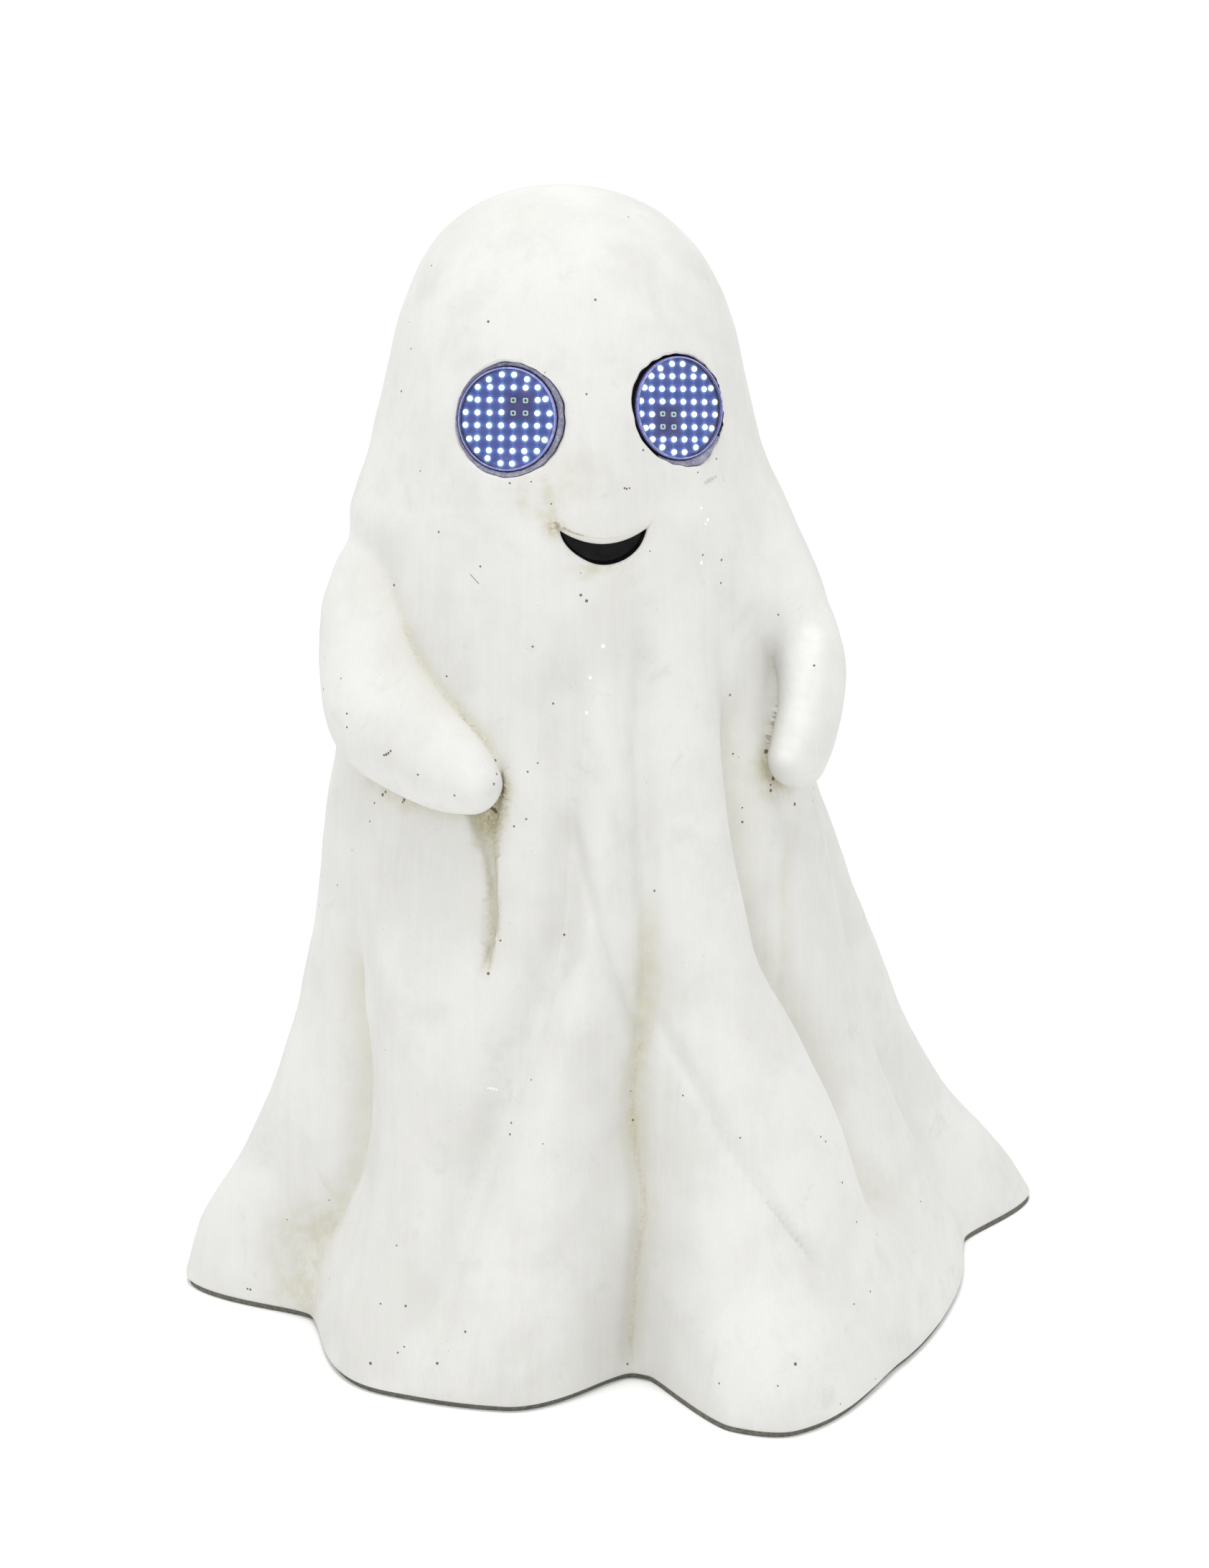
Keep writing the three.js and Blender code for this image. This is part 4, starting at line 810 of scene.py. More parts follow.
# painted highlight: a pale strip along the left forearm's front face; faint stains on the face, tan line at the mouth's
# corners, grey smudges
FOREARM_HIGHLIGHT_SPOTS = [(58.6, -55.1, 303, 4), (56.8, -57.1, 298.3, 5.1), (55.1, -58.4, 293.4, 6.2), (53.9, -59.7, 288.2, 6.4), (52.7, -60.6, 282.9, 6.6),
          (51.5, -61.6, 277.7, 6.5), (50.3, -63.1, 272.7, 6.4), (48.8, -64.2, 267.9, 5.8), (47.3, -65.2, 263, 5.2), (46, -66.2, 258.6, 3.6)]
STAINS = [(-60.2, -70.3, 374.7, 2), (-60.2, -70.7, 372.6, 2.1), (-60.1, -71.1, 370.4, 2.2), (-60.1, -71.4, 368.2, 2.3), (-60, -71.8, 366.1, 2.4),
          (-59.5, -72.3, 364.2, 2.2), (-59, -72.7, 362.3, 2), (-51.3, -73.6, 374.6, 2.2), (-51, -74.2, 371.9, 2.33), (-50.8, -74.6, 369.2, 2.47),
          (-50.5, -75.1, 366.4, 2.6), (-49.5, -75.7, 363.2, 2.2), (-58.3, -73, 361.8, 2), (-55.5, -74, 361.7, 2.07), (-52.8, -75, 361.6, 2.13),
          (-50.1, -75.8, 361.5, 2.2), (-36.1, -80.3, 339.6, 2.6), (-38, -80.2, 338.6, 2), (-33.5, -80.3, 340.7, 1.8)]
LIPS = [(-48, -76.8, 358.7, 0.5), (-47.7, -76.9, 358.3, 0.6), (-47.5, -77, 357.9, 0.7), (-47.2, -77.1, 357.5, 0.8), (-47, -77.2, 357.2, 0.83),
          (-46.8, -77.3, 356.8, 0.86), (-46.6, -77.4, 356.5, 0.89), (-46.4, -77.5, 356.2, 0.92), (-46.2, -77.6, 355.9, 0.95), (-45.9, -77.7, 355.5, 0.91),
          (-45.7, -77.8, 355.2, 0.88), (-45.4, -77.8, 354.9, 0.84), (-45.1, -77.9, 354.6, 0.8), (-45.1, -77.7, 356.7, 0.5), (-44.6, -77.8, 356.4, 0.49),
          (-44.1, -77.9, 356.2, 0.49), (-43.6, -78.1, 356, 0.48), (-43.1, -78.2, 355.7, 0.47), (-42.6, -78.3, 355.5, 0.47), (-42.1, -78.4, 355.2, 0.46),
          (-41.6, -78.5, 355, 0.46), (-41.1, -78.5, 354.7, 0.45), (-40.5, -78.6, 354.6, 0.43), (-40, -78.7, 354.5, 0.42), (-39.4, -78.8, 354.3, 0.4),
          (-38.9, -78.9, 354.2, 0.38), (-38.3, -79, 354, 0.37), (-37.8, -79.1, 353.9, 0.35), (-11.6, -76.6, 355.9, 0.35), (-11.9, -76.7, 355.5, 0.39),
          (-12.2, -76.8, 355.1, 0.42), (-12.5, -76.9, 354.7, 0.46), (-12.8, -77, 354.3, 0.5)]
SMUDGES = [(13.3, -63.4, 369.1, 0.8), (14.1, -62.8, 369.4, 0.83), (14.8, -62.1, 369.6, 0.87), (15.6, -61.5, 369.8, 0.9), (16.4, -60.9, 370, 0.8),
          (17.2, -60.3, 370.2, 0.7), (18, -59.6, 370.4, 0.6), (21.4, -57, 369.7, 0.3), (21.6, -56.9, 369.1, 0.3), (21.8, -56.9, 368.5, 0.3),
          (22, -56.9, 367.9, 0.3)]


def magnesia():
    k = Nodes("magnesia")
    cloud = k.noise(46, 4, .55); cloud2 = k.noise(24, 5, .6, loc=(3, 9, 4)); streak = k.noise(2.6, 3, .6, stretch=(1, 1, 26)); streak2 = k.noise(7, 3, .6, stretch=(1, 1, 14), loc=(7, 1, 2))
    grain = k.noise(.62, 2, .65); grain2 = k.noise(1.7, 3, .6, loc=(5, 5, 5)); lump = k.noise(11, 3, .5, loc=(1, 2, 8))
    smudge = k.noise(15, 6, .62, loc=(11, 3, 6), dist=.6)
    base = k.mix(k.rng(cloud, .36, .64), (.628, .625, .600), (.675, .673, .654))
    base = k.mix(k.rng(cloud2, .52, .74, 0, .38), base, (.55, .546, .527))
    base = k.mix(k.rng(streak, .42, .72, 0, .10), base, (.78, .78, .77))
    base = k.mix(k.rng(streak2, .54, .72, 0, .18), base, (.565, .558, .53))
    base = k.mix(k.rng(smudge, .60, .74, 0, .30), base, (.50, .50, .487))
    base = k.mix(k.rng(grain, .30, .70, .0, .16), base, (.54, .53, .50))
    # old dirt that settled in the creases: a wide olive tint, a tan core and dark crumbs; the patch tint also carries a
    # faint painted shade line along the mouth's outline
    dirt = k.attr("dirt"); core = k.attr("core"); patch = k.attr("patch")
    dn = k.noise(6.5, 5, .62, loc=(2, 6, 1)); dn2 = k.noise(1.5, 4, .7, loc=(9, 2, 2)); dn3 = k.noise(.75, 3, .7, loc=(4, 4, 9))
    wide = k.math("MULTIPLY", dirt, k.rng(dn, .28, .66, .55, 1.15), clamp=True)
    base = k.mix(k.math("MULTIPLY", wide, .80, clamp=True), base, (.545, .53, .40))
    pt = k.math("MULTIPLY", patch, k.rng(dn, .36, .62, .35, 1.1), clamp=True)
    base = k.mix(k.math("MULTIPLY", pt, .85, clamp=True), base, (.50, .475, .33))
    cr = k.math("MULTIPLY", core, k.rng(dn2, .32, .62, .25, 1.1), clamp=True)
    base = k.mix(k.math("MULTIPLY", cr, .85, clamp=True), base, (.36, .305, .175))
    crumbs = k.math("MULTIPLY", k.math("ADD", core, k.math("MULTIPLY", patch, .35)), k.rng(dn3, .56, .68), clamp=True)
    crumbs = k.math("MULTIPLY", crumbs, k.rng(dn2, .46, .60), clamp=True)
    base = k.mix(k.math("MULTIPLY", crumbs, .85, clamp=True), base, (.085, .065, .03))
    # small pinholes and dark specks scattered all over
    vor = k.add("ShaderNodeTexVoronoi", voronoi_dimensions="3D", feature="F1"); k.link(k.coords((1000 / 9.5,) * 3, (3, 1, 7)), vor.inputs["Vector"]); vor.inputs["Scale"].default_value = 1.0
    sep = k.add("ShaderNodeSeparateColor"); k.link(vor.outputs["Color"], sep.inputs[0])
    size = k.rng(sep.outputs[1], .0, 1.0, .018, .055, smooth=False)
    hole = k.math("MULTIPLY", k.math("LESS_THAN", vor.outputs["Distance"], size), k.math("GREATER_THAN", sep.outputs[0], .74))
    base = k.mix(k.math("MULTIPLY", hole, .82), base, (.07, .06, .05))
    vor2 = k.add("ShaderNodeTexVoronoi", voronoi_dimensions="3D", feature="F1"); k.link(k.coords((1000 / 4.2,) * 3, (1, 8, 2)), vor2.inputs["Vector"]); vor2.inputs["Scale"].default_value = 1.0
    sep2 = k.add("ShaderNodeSeparateColor"); k.link(vor2.outputs["Color"], sep2.inputs[0])
    fine = k.math("MULTIPLY", k.math("LESS_THAN", vor2.outputs["Distance"], .055), k.math("GREATER_THAN", sep2.outputs[0], .78))
    base = k.mix(k.math("MULTIPLY", fine, .38), base, (.22, .20, .16))
    # marks that are placed one by one: dark pits, short scratches, pale chips
    pos = k.coords((1000, 1000, 1000))

    def spots(rows, soft=.25):
        acc = None
        for p in rows:
            n = k.add("ShaderNodeVectorMath", operation="DISTANCE"); k.link(pos, n.inputs[0]); n.inputs[1].default_value = p[:3]
            v = k.rng(n.outputs["Value"], p[3] * (1 - soft), p[3] * (1 + soft), 1, 0)
            acc = v if acc is None else k.math("MAXIMUM", acc, v)
        return acc
    pits = spots(PITS); pale = spots(CHIPS, .4)
    painted_forearm_highlight = spots(FOREARM_HIGHLIGHT_SPOTS, .85); stn = k.math("MULTIPLY", spots(STAINS, .75), k.rng(dn, .36, .62, .25, 1.0), clamp=True)
    # pale strip along the left forearm's front face: painted highlight
    base = k.mix(k.math("MULTIPLY", painted_forearm_highlight, k.rng(dn, .3, .7, .55, .80)), base, (.80, .80, .78))
    base = k.mix(k.math("MULTIPLY", stn, .42), base, (.50, .475, .34))
    base = k.mix(k.math("MULTIPLY", spots(LIPS, .7), k.rng(dn2, .3, .62, .30, .80)), base, (.26, .22, .14))
    base = k.mix(k.math("MULTIPLY", spots(SMUDGES, .6), k.rng(dn2, .3, .62, .15, .55)), base, (.30, .30, .29))
    base = k.mix(k.math("MULTIPLY", pits, .88), base, (.085, .065, .035))
    base = k.mix(k.math("MULTIPLY", pale, .7), base, (.93, .93, .91))
    # dark band along the hem's lowest 2.6 mm: painted shadow under the lip
    foot = k.attr("foot"); base = k.mix(foot, base, k.mix(k.rng(dn2, .35, .65), (.10, .10, .085), (.17, .165, .14)))
    h = k.math("ADD", k.math("MULTIPLY", grain, .35), k.math("MULTIPLY", grain2, .45))
    h = k.math("ADD", h, k.math("MULTIPLY", streak, .32))
    h = k.math("SUBTRACT", h, k.math("MULTIPLY", hole, 1.6)); h = k.math("SUBTRACT", h, k.math("MULTIPLY", pits, 1.8)); h = k.math("ADD", h, k.math("MULTIPLY", pale, .8))
    h = k.math("SUBTRACT", h, k.math("MULTIPLY", crumbs, -.5))
    n1 = k.bump(lump, .55, .55)
    n2 = k.bump(h, .12, .75, n1)
    rough = k.rng(grain2, .3, .7, .72, .90, smooth=False)
    return k.shader(base, rough, n2, spec=.28)


def mouth_black():
    k = Nodes("mouth_black")
    a = k.noise(2.2, 4, .6); b = k.noise(7, 3, .5, loc=(4, 4, 1)); g = k.noise(.5, 2, .6)
    c = k.mix(k.rng(b, .4, .7, 0, .6), (.006, .006, .0065), (.013, .013, .012))
    c = k.mix(k.rng(g, .62, .74, 0, .35), c, (.05, .048, .042))
    h = k.math("ADD", k.math("MULTIPLY", a, .7), k.math("MULTIPLY", g, .2))
    return k.shader(c, k.rng(a, .3, .7, .24, .60), k.bump(h, .45, .7), spec=.13)


def socket_wall():
    """lining between the eye and the body: rough putty whose blue-lavender colour is painted lamp glow"""
    k = Nodes("socket_lining")
    a = k.noise(1.1, 5, .7); b = k.noise(.45, 3, .7, loc=(3, 3, 3)); c2 = k.noise(5, 3, .5, loc=(2, 1, 1))
    c = k.mix(k.rng(c2, .35, .65), (.20, .20, .28), (.33, .33, .42))
    c = k.mix(k.rng(a, .50, .64, 0, .6), c, (.56, .56, .66))
    c = k.mix(k.rng(b, .56, .70, 0, .7), c, (.12, .12, .17))
    return k.shader(c, .62, k.bump(k.math("ADD", a, b), .5, .8), spec=.4)


# near-black for the deep gap around each eye: painted shade
def gap_black():
    k = Nodes("socket_gap")
    a = k.noise(1.3, 4, .6); b = k.noise(.4, 2, .6)
    c = k.mix(k.rng(a, .5, .7, 0, .7), (.014, .014, .018), (.055, .055, .075))
    return k.shader(c, .7, k.bump(k.math("ADD", a, b), .3, .7), spec=.3)


def plastic(name, color, rough=.42, grain=.35, spec=.45, wear=True):
    k = Nodes(name)
    a = k.noise(grain, 2, .6); b = k.noise(9, 4, .55, loc=(2, 3, 1)); s = k.noise(1.1, 3, .6, stretch=(1, 14, 1), loc=(5, 1, 1))
    d = tuple(min(1, c * 1.35 + .012) for c in color)
    c = k.mix(k.rng(b, .38, .68), color, d)
    if wear:
        c = k.mix(k.rng(s, .66, .78, 0, .25), c, tuple(min(1, c * 2 + .05) for c in color))
    return k.shader(c, k.rng(b, .3, .7, rough - .06, rough + .10), k.bump(a, .035, .8), spec=spec)


def metal(name, color, rough=.3, brush=True):
    k = Nodes(name)
    s = k.noise(.35, 3, .6, stretch=(1, 1, 12)) if brush else k.noise(.5, 3, .6)
    b = k.noise(3.5, 4, .6, loc=(1, 5, 2))
    c = k.mix(k.rng(b, .42, .72), color, tuple(c * .72 for c in color))
    return k.shader(c, k.rng(s, .3, .7, rough - .08, rough + .12), k.bump(s, .02, .7), metal=1.0)


def foam_mat(name, color):
    k = Nodes(name)
    v = k.add("ShaderNodeTexVoronoi", voronoi_dimensions="3D", feature="F1"); k.link(k.coords((1000 / .55,) * 3), v.inputs["Vector"]); v.inputs["Scale"].default_value = 1.0
    b = k.noise(4, 3, .6)
    c = k.mix(k.rng(v.outputs["Distance"], .1, .7), tuple(c * .6 for c in color), color)
    c = k.mix(k.rng(b, .5, .7, 0, .4), c, tuple(min(1, c * 1.4) for c in color))
    return k.shader(c, .93, k.bump(v.outputs["Distance"], .12, .8), spec=.2)


def board_mat():
    """board under the lamps: its glow comes from how near each point is to a lit lamp"""
    k = Nodes("led_board")
    halo, line, dark, near = k.attr("halo"), k.attr("line"), k.attr("dark"), k.attr("near")
    n1 = k.noise(.5, 3, .6); n2 = k.noise(3.4, 3, .5, loc=(3, 2, 5))
    c = k.mix(k.rng(n2, .35, .65), (.020, .024, .085), (.045, .035, .11))
    # emitted colour
    e = k.mix(k.rng(n2, .35, .65), (.015, .027, .115), (.034, .028, .112))
    e = k.mix(k.math("MULTIPLY", near, .62, clamp=True), e, (.030, .085, .36))
    e = k.mix(k.math("MULTIPLY", line, k.rng(n1, .3, .7, .25, .6), clamp=True), e, (.10, .26, .72))
    e = k.mix(k.math("MULTIPLY", halo, 1.0, clamp=True), e, (.42, .82, 1.0))
    e = k.mix(dark, e, (.016, .022, .060))
    m = k.shader(c, .45, k.bump(n1, .05, .6), spec=.4, Emission_Color=e)
    k.bsdf.inputs["Emission Strength"].default_value = .95
    return m


def lamp_on():
    k = Nodes("lamp_lit")
    n = k.noise(.6, 2, .5)
    e = k.mix(k.rng(n, .3, .7, 0, .5), (1, 1, 1), (.86, .97, 1.0))
    m = k.shader((.9, .95, 1), .3, None, Emission_Color=e)
    k.bsdf.inputs["Emission Strength"].default_value = 1.6
    return m


# package around an unlit lamp: its emission is painted glow, the package itself is no lamp
def lamp_frame():
    k = Nodes("lamp_package")
    n = k.noise(.5, 2, .6)
    c = k.mix(k.rng(n, .35, .7), (.46, .56, .52), (.60, .68, .64))
    m = k.shader(c, .5, k.bump(n, .03, .5), Emission_Color=(.30, .42, .42))
    k.bsdf.inputs["Emission Strength"].default_value = .55
    return m


def lamp_off():
    k = Nodes("lamp_dark")
    n = k.noise(.4, 2, .6)
    c = k.mix(k.rng(n, .35, .7), (.015, .055, .035), (.04, .10, .06))
    return k.shader(c, .3, k.bump(n, .03, .5))


def window_glass():
    k = Nodes("eye_window")
    n = k.noise(1.2, 3, .6); s = k.noise(6, 3, .5, loc=(3, 3, 3))
    c = k.mix(k.rng(s, .35, .65), (.90, .91, 1.0), (.97, .97, 1.0))
    return k.shader(c, k.rng(n, .35, .7, .015, .05), None, Transmission_Weight=1.0, IOR=1.25)


# milky rim of the window: its blue colour and its emission are painted lamp glow
def window_rim():
    k = Nodes("eye_window_rim")
    a = k.noise(1.4, 4, .65); b = k.noise(.4, 2, .6); w = k.noise(8, 3, .5, loc=(2, 7, 3))
    c = k.mix(k.rng(w, .35, .65), (.16, .18, .42), (.24, .25, .50))
    c = k.mix(k.rng(a, .52, .66, 0, .5), c, (.42, .45, .72))
    e = k.mix(k.rng(w, .35, .65), (.20, .22, .60), (.30, .31, .72))
    e = k.mix(k.rng(a, .50, .68, 0, .6), e, (.52, .56, .98))
    m = k.shader(c, k.rng(a, .3, .7, .22, .42), k.bump(k.math("ADD", a, b), .08, .6), Emission_Color=e)
    k.bsdf.inputs["Emission Strength"].default_value = .20
    return m


# groove in the window's rim: its dark blue is painted shade, tinted like the painted lamp glow
def rim_line():
    k = Nodes("eye_window_groove")
    a = k.noise(.8, 3, .6)
    c = k.mix(k.rng(a, .35, .7), (.035, .035, .13), (.075, .075, .22))
    return k.shader(c, .4, k.bump(a, .05, .5))


def cell_mat():
    """plain two-colour jacket with a thin ring, no lettering"""
    k = Nodes("cell_jacket")
    x = k.add("ShaderNodeSeparateXYZ"); k.link(k.coords((1000, 1000, 1000)), x.inputs[0])
    n = k.noise(3, 3, .5); g = k.noise(.3, 2, .6)
    a = k.math("ABSOLUTE", k.math("SUBTRACT", x.outputs[0], SX + 6.0))
    c = k.mix(k.rng(n, .35, .7), (.045, .20, .10), (.06, .26, .13))
    c = k.mix(k.math("GREATER_THAN", a, 17.5), c, (.55, .50, .30))
    c = k.mix(k.math("MULTIPLY", k.math("GREATER_THAN", a, 16.4), k.math("LESS_THAN", a, 17.5)), c, (.75, .75, .72))
    c = k.mix(k.math("GREATER_THAN", a, 23.9), c, (.62, .62, .60))
    return k.shader(c, k.rng(g, .3, .7, .24, .36), k.bump(g, .01, .5), metal=.25)


def board_green():
    k = Nodes("circuit_board")
    v = k.add("ShaderNodeTexBrick"); k.link(k.coords((400, 400, 400)), v.inputs["Vector"])
    v.inputs["Color1"].default_value = (.015, .12, .05, 1); v.inputs["Color2"].default_value = (.02, .15, .06, 1); v.inputs["Mortar"].default_value = (.05, .26, .11, 1)
    v.inputs["Scale"].default_value = 1.0; v.inputs["Mortar Size"].default_value = .02
    n = k.noise(2, 3, .5)
    c = k.mix(k.rng(n, .5, .7, 0, .5), v.outputs["Color"], (.01, .08, .035))
    return k.shader(c, .35, k.bump(n, .04, .5))


MAT = {
    "magnesia": magnesia(), "mouth": mouth_black(), "lining": socket_wall(), "gap": gap_black(),
    "black": plastic("black_plastic", (.022, .022, .024)), "plate": plastic("base_plastic", (.62, .61, .57), .55, .5, .35, False),
    "knob": plastic("switch_knob_plastic", (.06, .06, .065), .38), "steel": metal("steel", (.56, .56, .58)), "nickel": metal("nickel", (.66, .63, .56), .24),
    "foam": foam_mat("foam", (.06, .06, .068)), "board": board_mat(), "lamp_on": lamp_on(), "lamp_frame": lamp_frame(), "lamp_off": lamp_off(),
    "window": window_glass(), "rim": window_rim(), "groove": rim_line(), "cell": cell_mat(), "pcb": board_green(),
    "lead": plastic("lead_sleeve", (.03, .03, .034), .55, .6, .3), "chip": plastic("chip_black", (.02, .02, .02), .5), "housing": plastic("eye_housing_black", (.018, .018, .022), .5),
}


# ------------------------------------------------------------------ body: outer skin, arms, sockets, mouth, cavity
_ZG = np.arange(0, 476.1, 2.0); _TG = np.arange(-180, 181, 1.0)
_RG = np.array([radius_row(_TG, z) for z in _ZG])


def radius_at(th, z):
    i = np.clip(z / 2.0, 0, len(_ZG) - 1.001); j = np.clip(wrap(th) + 180, 0, 359.999)
    i0, j0 = i.astype(int), j.astype(int); fi, fj = i - i0, j - j0
    return ((_RG[i0, j0] * (1 - fj) + _RG[i0, j0 + 1] * fj) * (1 - fi) + (_RG[i0 + 1, j0] * (1 - fj) + _RG[i0 + 1, j0 + 1] * fj) * fi)


def masks(P):
    """where dirt has settled, with a faint painted shade line along the mouth's outline and a painted shadow band along
    the hem's bottom, for points in mm about the body's axis
    """
    x, y, z = P[:, 0], P[:, 1], P[:, 2]
    dx = x - LX(z); th = np.degrees(np.arctan2(dx, -y)); rp = np.hypot(dx, y)
    dirt = np.zeros(len(P)); core = np.zeros(len(P)); patch = np.zeros(len(P))

    def along(zs, ths):
        return table(zs, ths)

    def line(zs, ths, left, right, strength, ends=8.0, which="dirt"):
        t = table(zs, ths); d = np.radians(wrap(th - t(z))) * rp
        f = sstep(zs[0] - ends, zs[0] + ends, z) * (1 - sstep(zs[-1] - ends, zs[-1] + ends, z))
        return strength * f * np.exp(-(d / np.where(d < 0, left, right)) ** 2)
    Va = ([58, 78, 103, 122, 135, 151, 170], [-76.8, -71.8, -69.4, -69, -70.2, -72.3, -72.6])
    dirt = np.maximum(dirt, line(*Va, 8, 1.8, .50, 14)); core = np.maximum(core, line(*Va, 2.2, .8, .12, 14))
    patch = np.maximum(patch, line([2, 18, 34, 58], [-83, -85, -84, -77], 13, 11, .62, 10))
    Vd = ([8, 30, 56, 78, 95, 112, 134, 150, 177, 205], [3, 4, 5.2, 6.6, 5.6, 4.6, 5.2, 7.4, 9.2, 9.6])
    dirt = np.maximum(dirt, line(*Vd, 5, 4, .52)); core = np.maximum(core, line(Vd[0][:8], Vd[1][:8], 1.3, 1.0, .40))
    patch = np.maximum(patch, line([100, 120, 150, 190], [5, 5, 7.6, 9.4], 7, 4, .36))
    Vf = ([54, 75, 90, 103, 125, 137, 152, 172, 186, 222, 265, 277], [61.5, 56.6, 54.1, 54.7, 52.6, 50.7, 47.7, 41.4, 38.6, 35.7, 35.7, 38.4])
    dirt = np.maximum(dirt, line(*Vf, 1.2, 11, .46)); core = np.maximum(core, line(*Vf, .8, 1.4, .12))
    Vh = ([150, 180, 199, 221], [49.9, 51.5, 52.8, 56.3]); dirt = np.maximum(dirt, line(*Vh, 3, 4, .35))
    wl, wr, z0, z1 = WEDGE
    dl = np.radians(wrap(th - wl(z))) * rp; dr = np.radians(wrap(wr(z) - th)) * rp
    f = sstep(z0 - 3, z0 + 6, z) * (1 - sstep(z1 - 3, z1 + 4, z))
    inside = sstep(-.6, .8, dl) * sstep(-.5, .6, dr)
    f = f * (1 - sstep(.8, 2.2, rp - radius_at(th, z)))
    dirt = np.maximum(dirt, .62 * f * inside); dirt = np.maximum(dirt, .30 * f * np.exp(-(np.minimum(dl, dr) / 2.6) ** 2))
    core = np.maximum(core, .55 * f * np.exp(-((dr - .1) / .7) ** 2) * sstep(-1, 0, dl)); core = np.maximum(core, .34 * f * np.exp(-((dl - .2) / .7) ** 2) * (1 - sstep(222, 232, z)))
    patch = np.maximum(patch, .5 * f * inside * sstep(206, 232, z)); core = np.maximum(core, sstep(224, 240, z) * (1 - sstep(250, 262, z)) * .8 * f * np.exp(-(np.maximum(-np.minimum(dl - 3, dr), 0) / 2.4) ** 2))
    patch = np.maximum(patch, f * sstep(226, 238, z) * (1 - sstep(250, 262, z)) * .8 * np.exp(-(np.minimum(dr, 0) / 3.2) ** 2) * sstep(-2, 3, dl))
    rb = radius_at(th, z); db = np.maximum(rp - rb - .3, 0)
    for key in "RL":
        S = SPH[key]; near = np.zeros(len(P), bool)
        lo, hi = S[:, :3].min(0) - 40, S[:, :3].max(0) + 40
        near = ((P > lo) & (P < hi)).all(1)
        da = np.full(len(P), 99.0); da[near] = np.maximum(tube_dist(P[near], LINE[key]), 0)
        q = da + db * .8
        side = 1 - .55 * sstep(.5, 2.2, db)
        if key == "R":
            inner = sstep(-92, -78, th) * (1 - sstep(306, 336, z)) * side
            under = sstep(228, 236, z) * (1 - sstep(262, 276, z)) * (th < -40)
            dirt = np.maximum(dirt, .55 * inner * np.exp(-(q / 4.2) ** 2)); core = np.maximum(core, .62 * inner * np.exp(-(q / 1.25) ** 2))
            w = under * sstep(-88, -74, th) * (1 - sstep(-56, -44, th))
            patch = np.maximum(patch, .60 * w * (1 - sstep(.8, 2.4, db)) * np.exp(-(q / 9.0) ** 2))
        else:
            inner = (1 - sstep(76, 92, th)) * (1 - sstep(284, 306, z)) * side
            dirt = np.maximum(dirt, .5 * inner * np.exp(-(q / 4.5) ** 2)); core = np.maximum(core, .40 * inner * np.exp(-(q / 1.3) ** 2))
            under = (1 - sstep(74, 92, th)) * (1 - sstep(248, 264, z)) * (1 - sstep(.8, 2.4, db))
            patch = np.maximum(patch, .85 * under * np.exp(-(q / 8.0) ** 2)); core = np.maximum(core, .45 * under * np.exp(-(q / 3.0) ** 2))
    # stains on the face
    for (ct, cz, wt, wz, s) in ((-7, 374, 5.5, 10, .30), (5, 335, 3.2, 4.5, .34), (-13.5, 357, 2.4, 4.5, .5), (-4, 341, 6, 2, .25)):
        patch = np.maximum(patch, s * np.exp(-(wrap(th - ct) / wt) ** 2 - ((z - cz) / wz) ** 2))
    # the mouth's edge: brown dirt in the left corner, a faint painted shade line along the whole outline, a darker line
    # along the lower edge
    near = np.nonzero((np.abs(th - 3) < 22) & (z > 330) & (z < 368) & (y < 0))[0]
    if len(near):
        O = mouth_outline(); d = np.sqrt(((np.stack([x[near], z[near]], -1)[:, None] - O[None]) ** 2).sum(-1)).min(1)
        corner = np.exp(-((np.hypot(x[near] + 15.5, z[near] - 357)) / 3.6) ** 2)
        core[near] = np.maximum(core[near], .75 * corner); patch[near] = np.maximum(patch[near], .22 * np.exp(-(d / 1.6) ** 2))
        low = np.exp(-((x[near] - 2) / 9) ** 2) * np.exp(-((z[near] - 341.2) / 1.8) ** 2)
        core[near] = np.maximum(core[near], .22 * low)
    # the hem's lowest 2.6 mm is painted dark: painted shadow under the lip
    foot = 1 - sstep(2.35, 2.75, z)
    return dict(dirt=dirt, core=core, patch=patch, foot=foot)


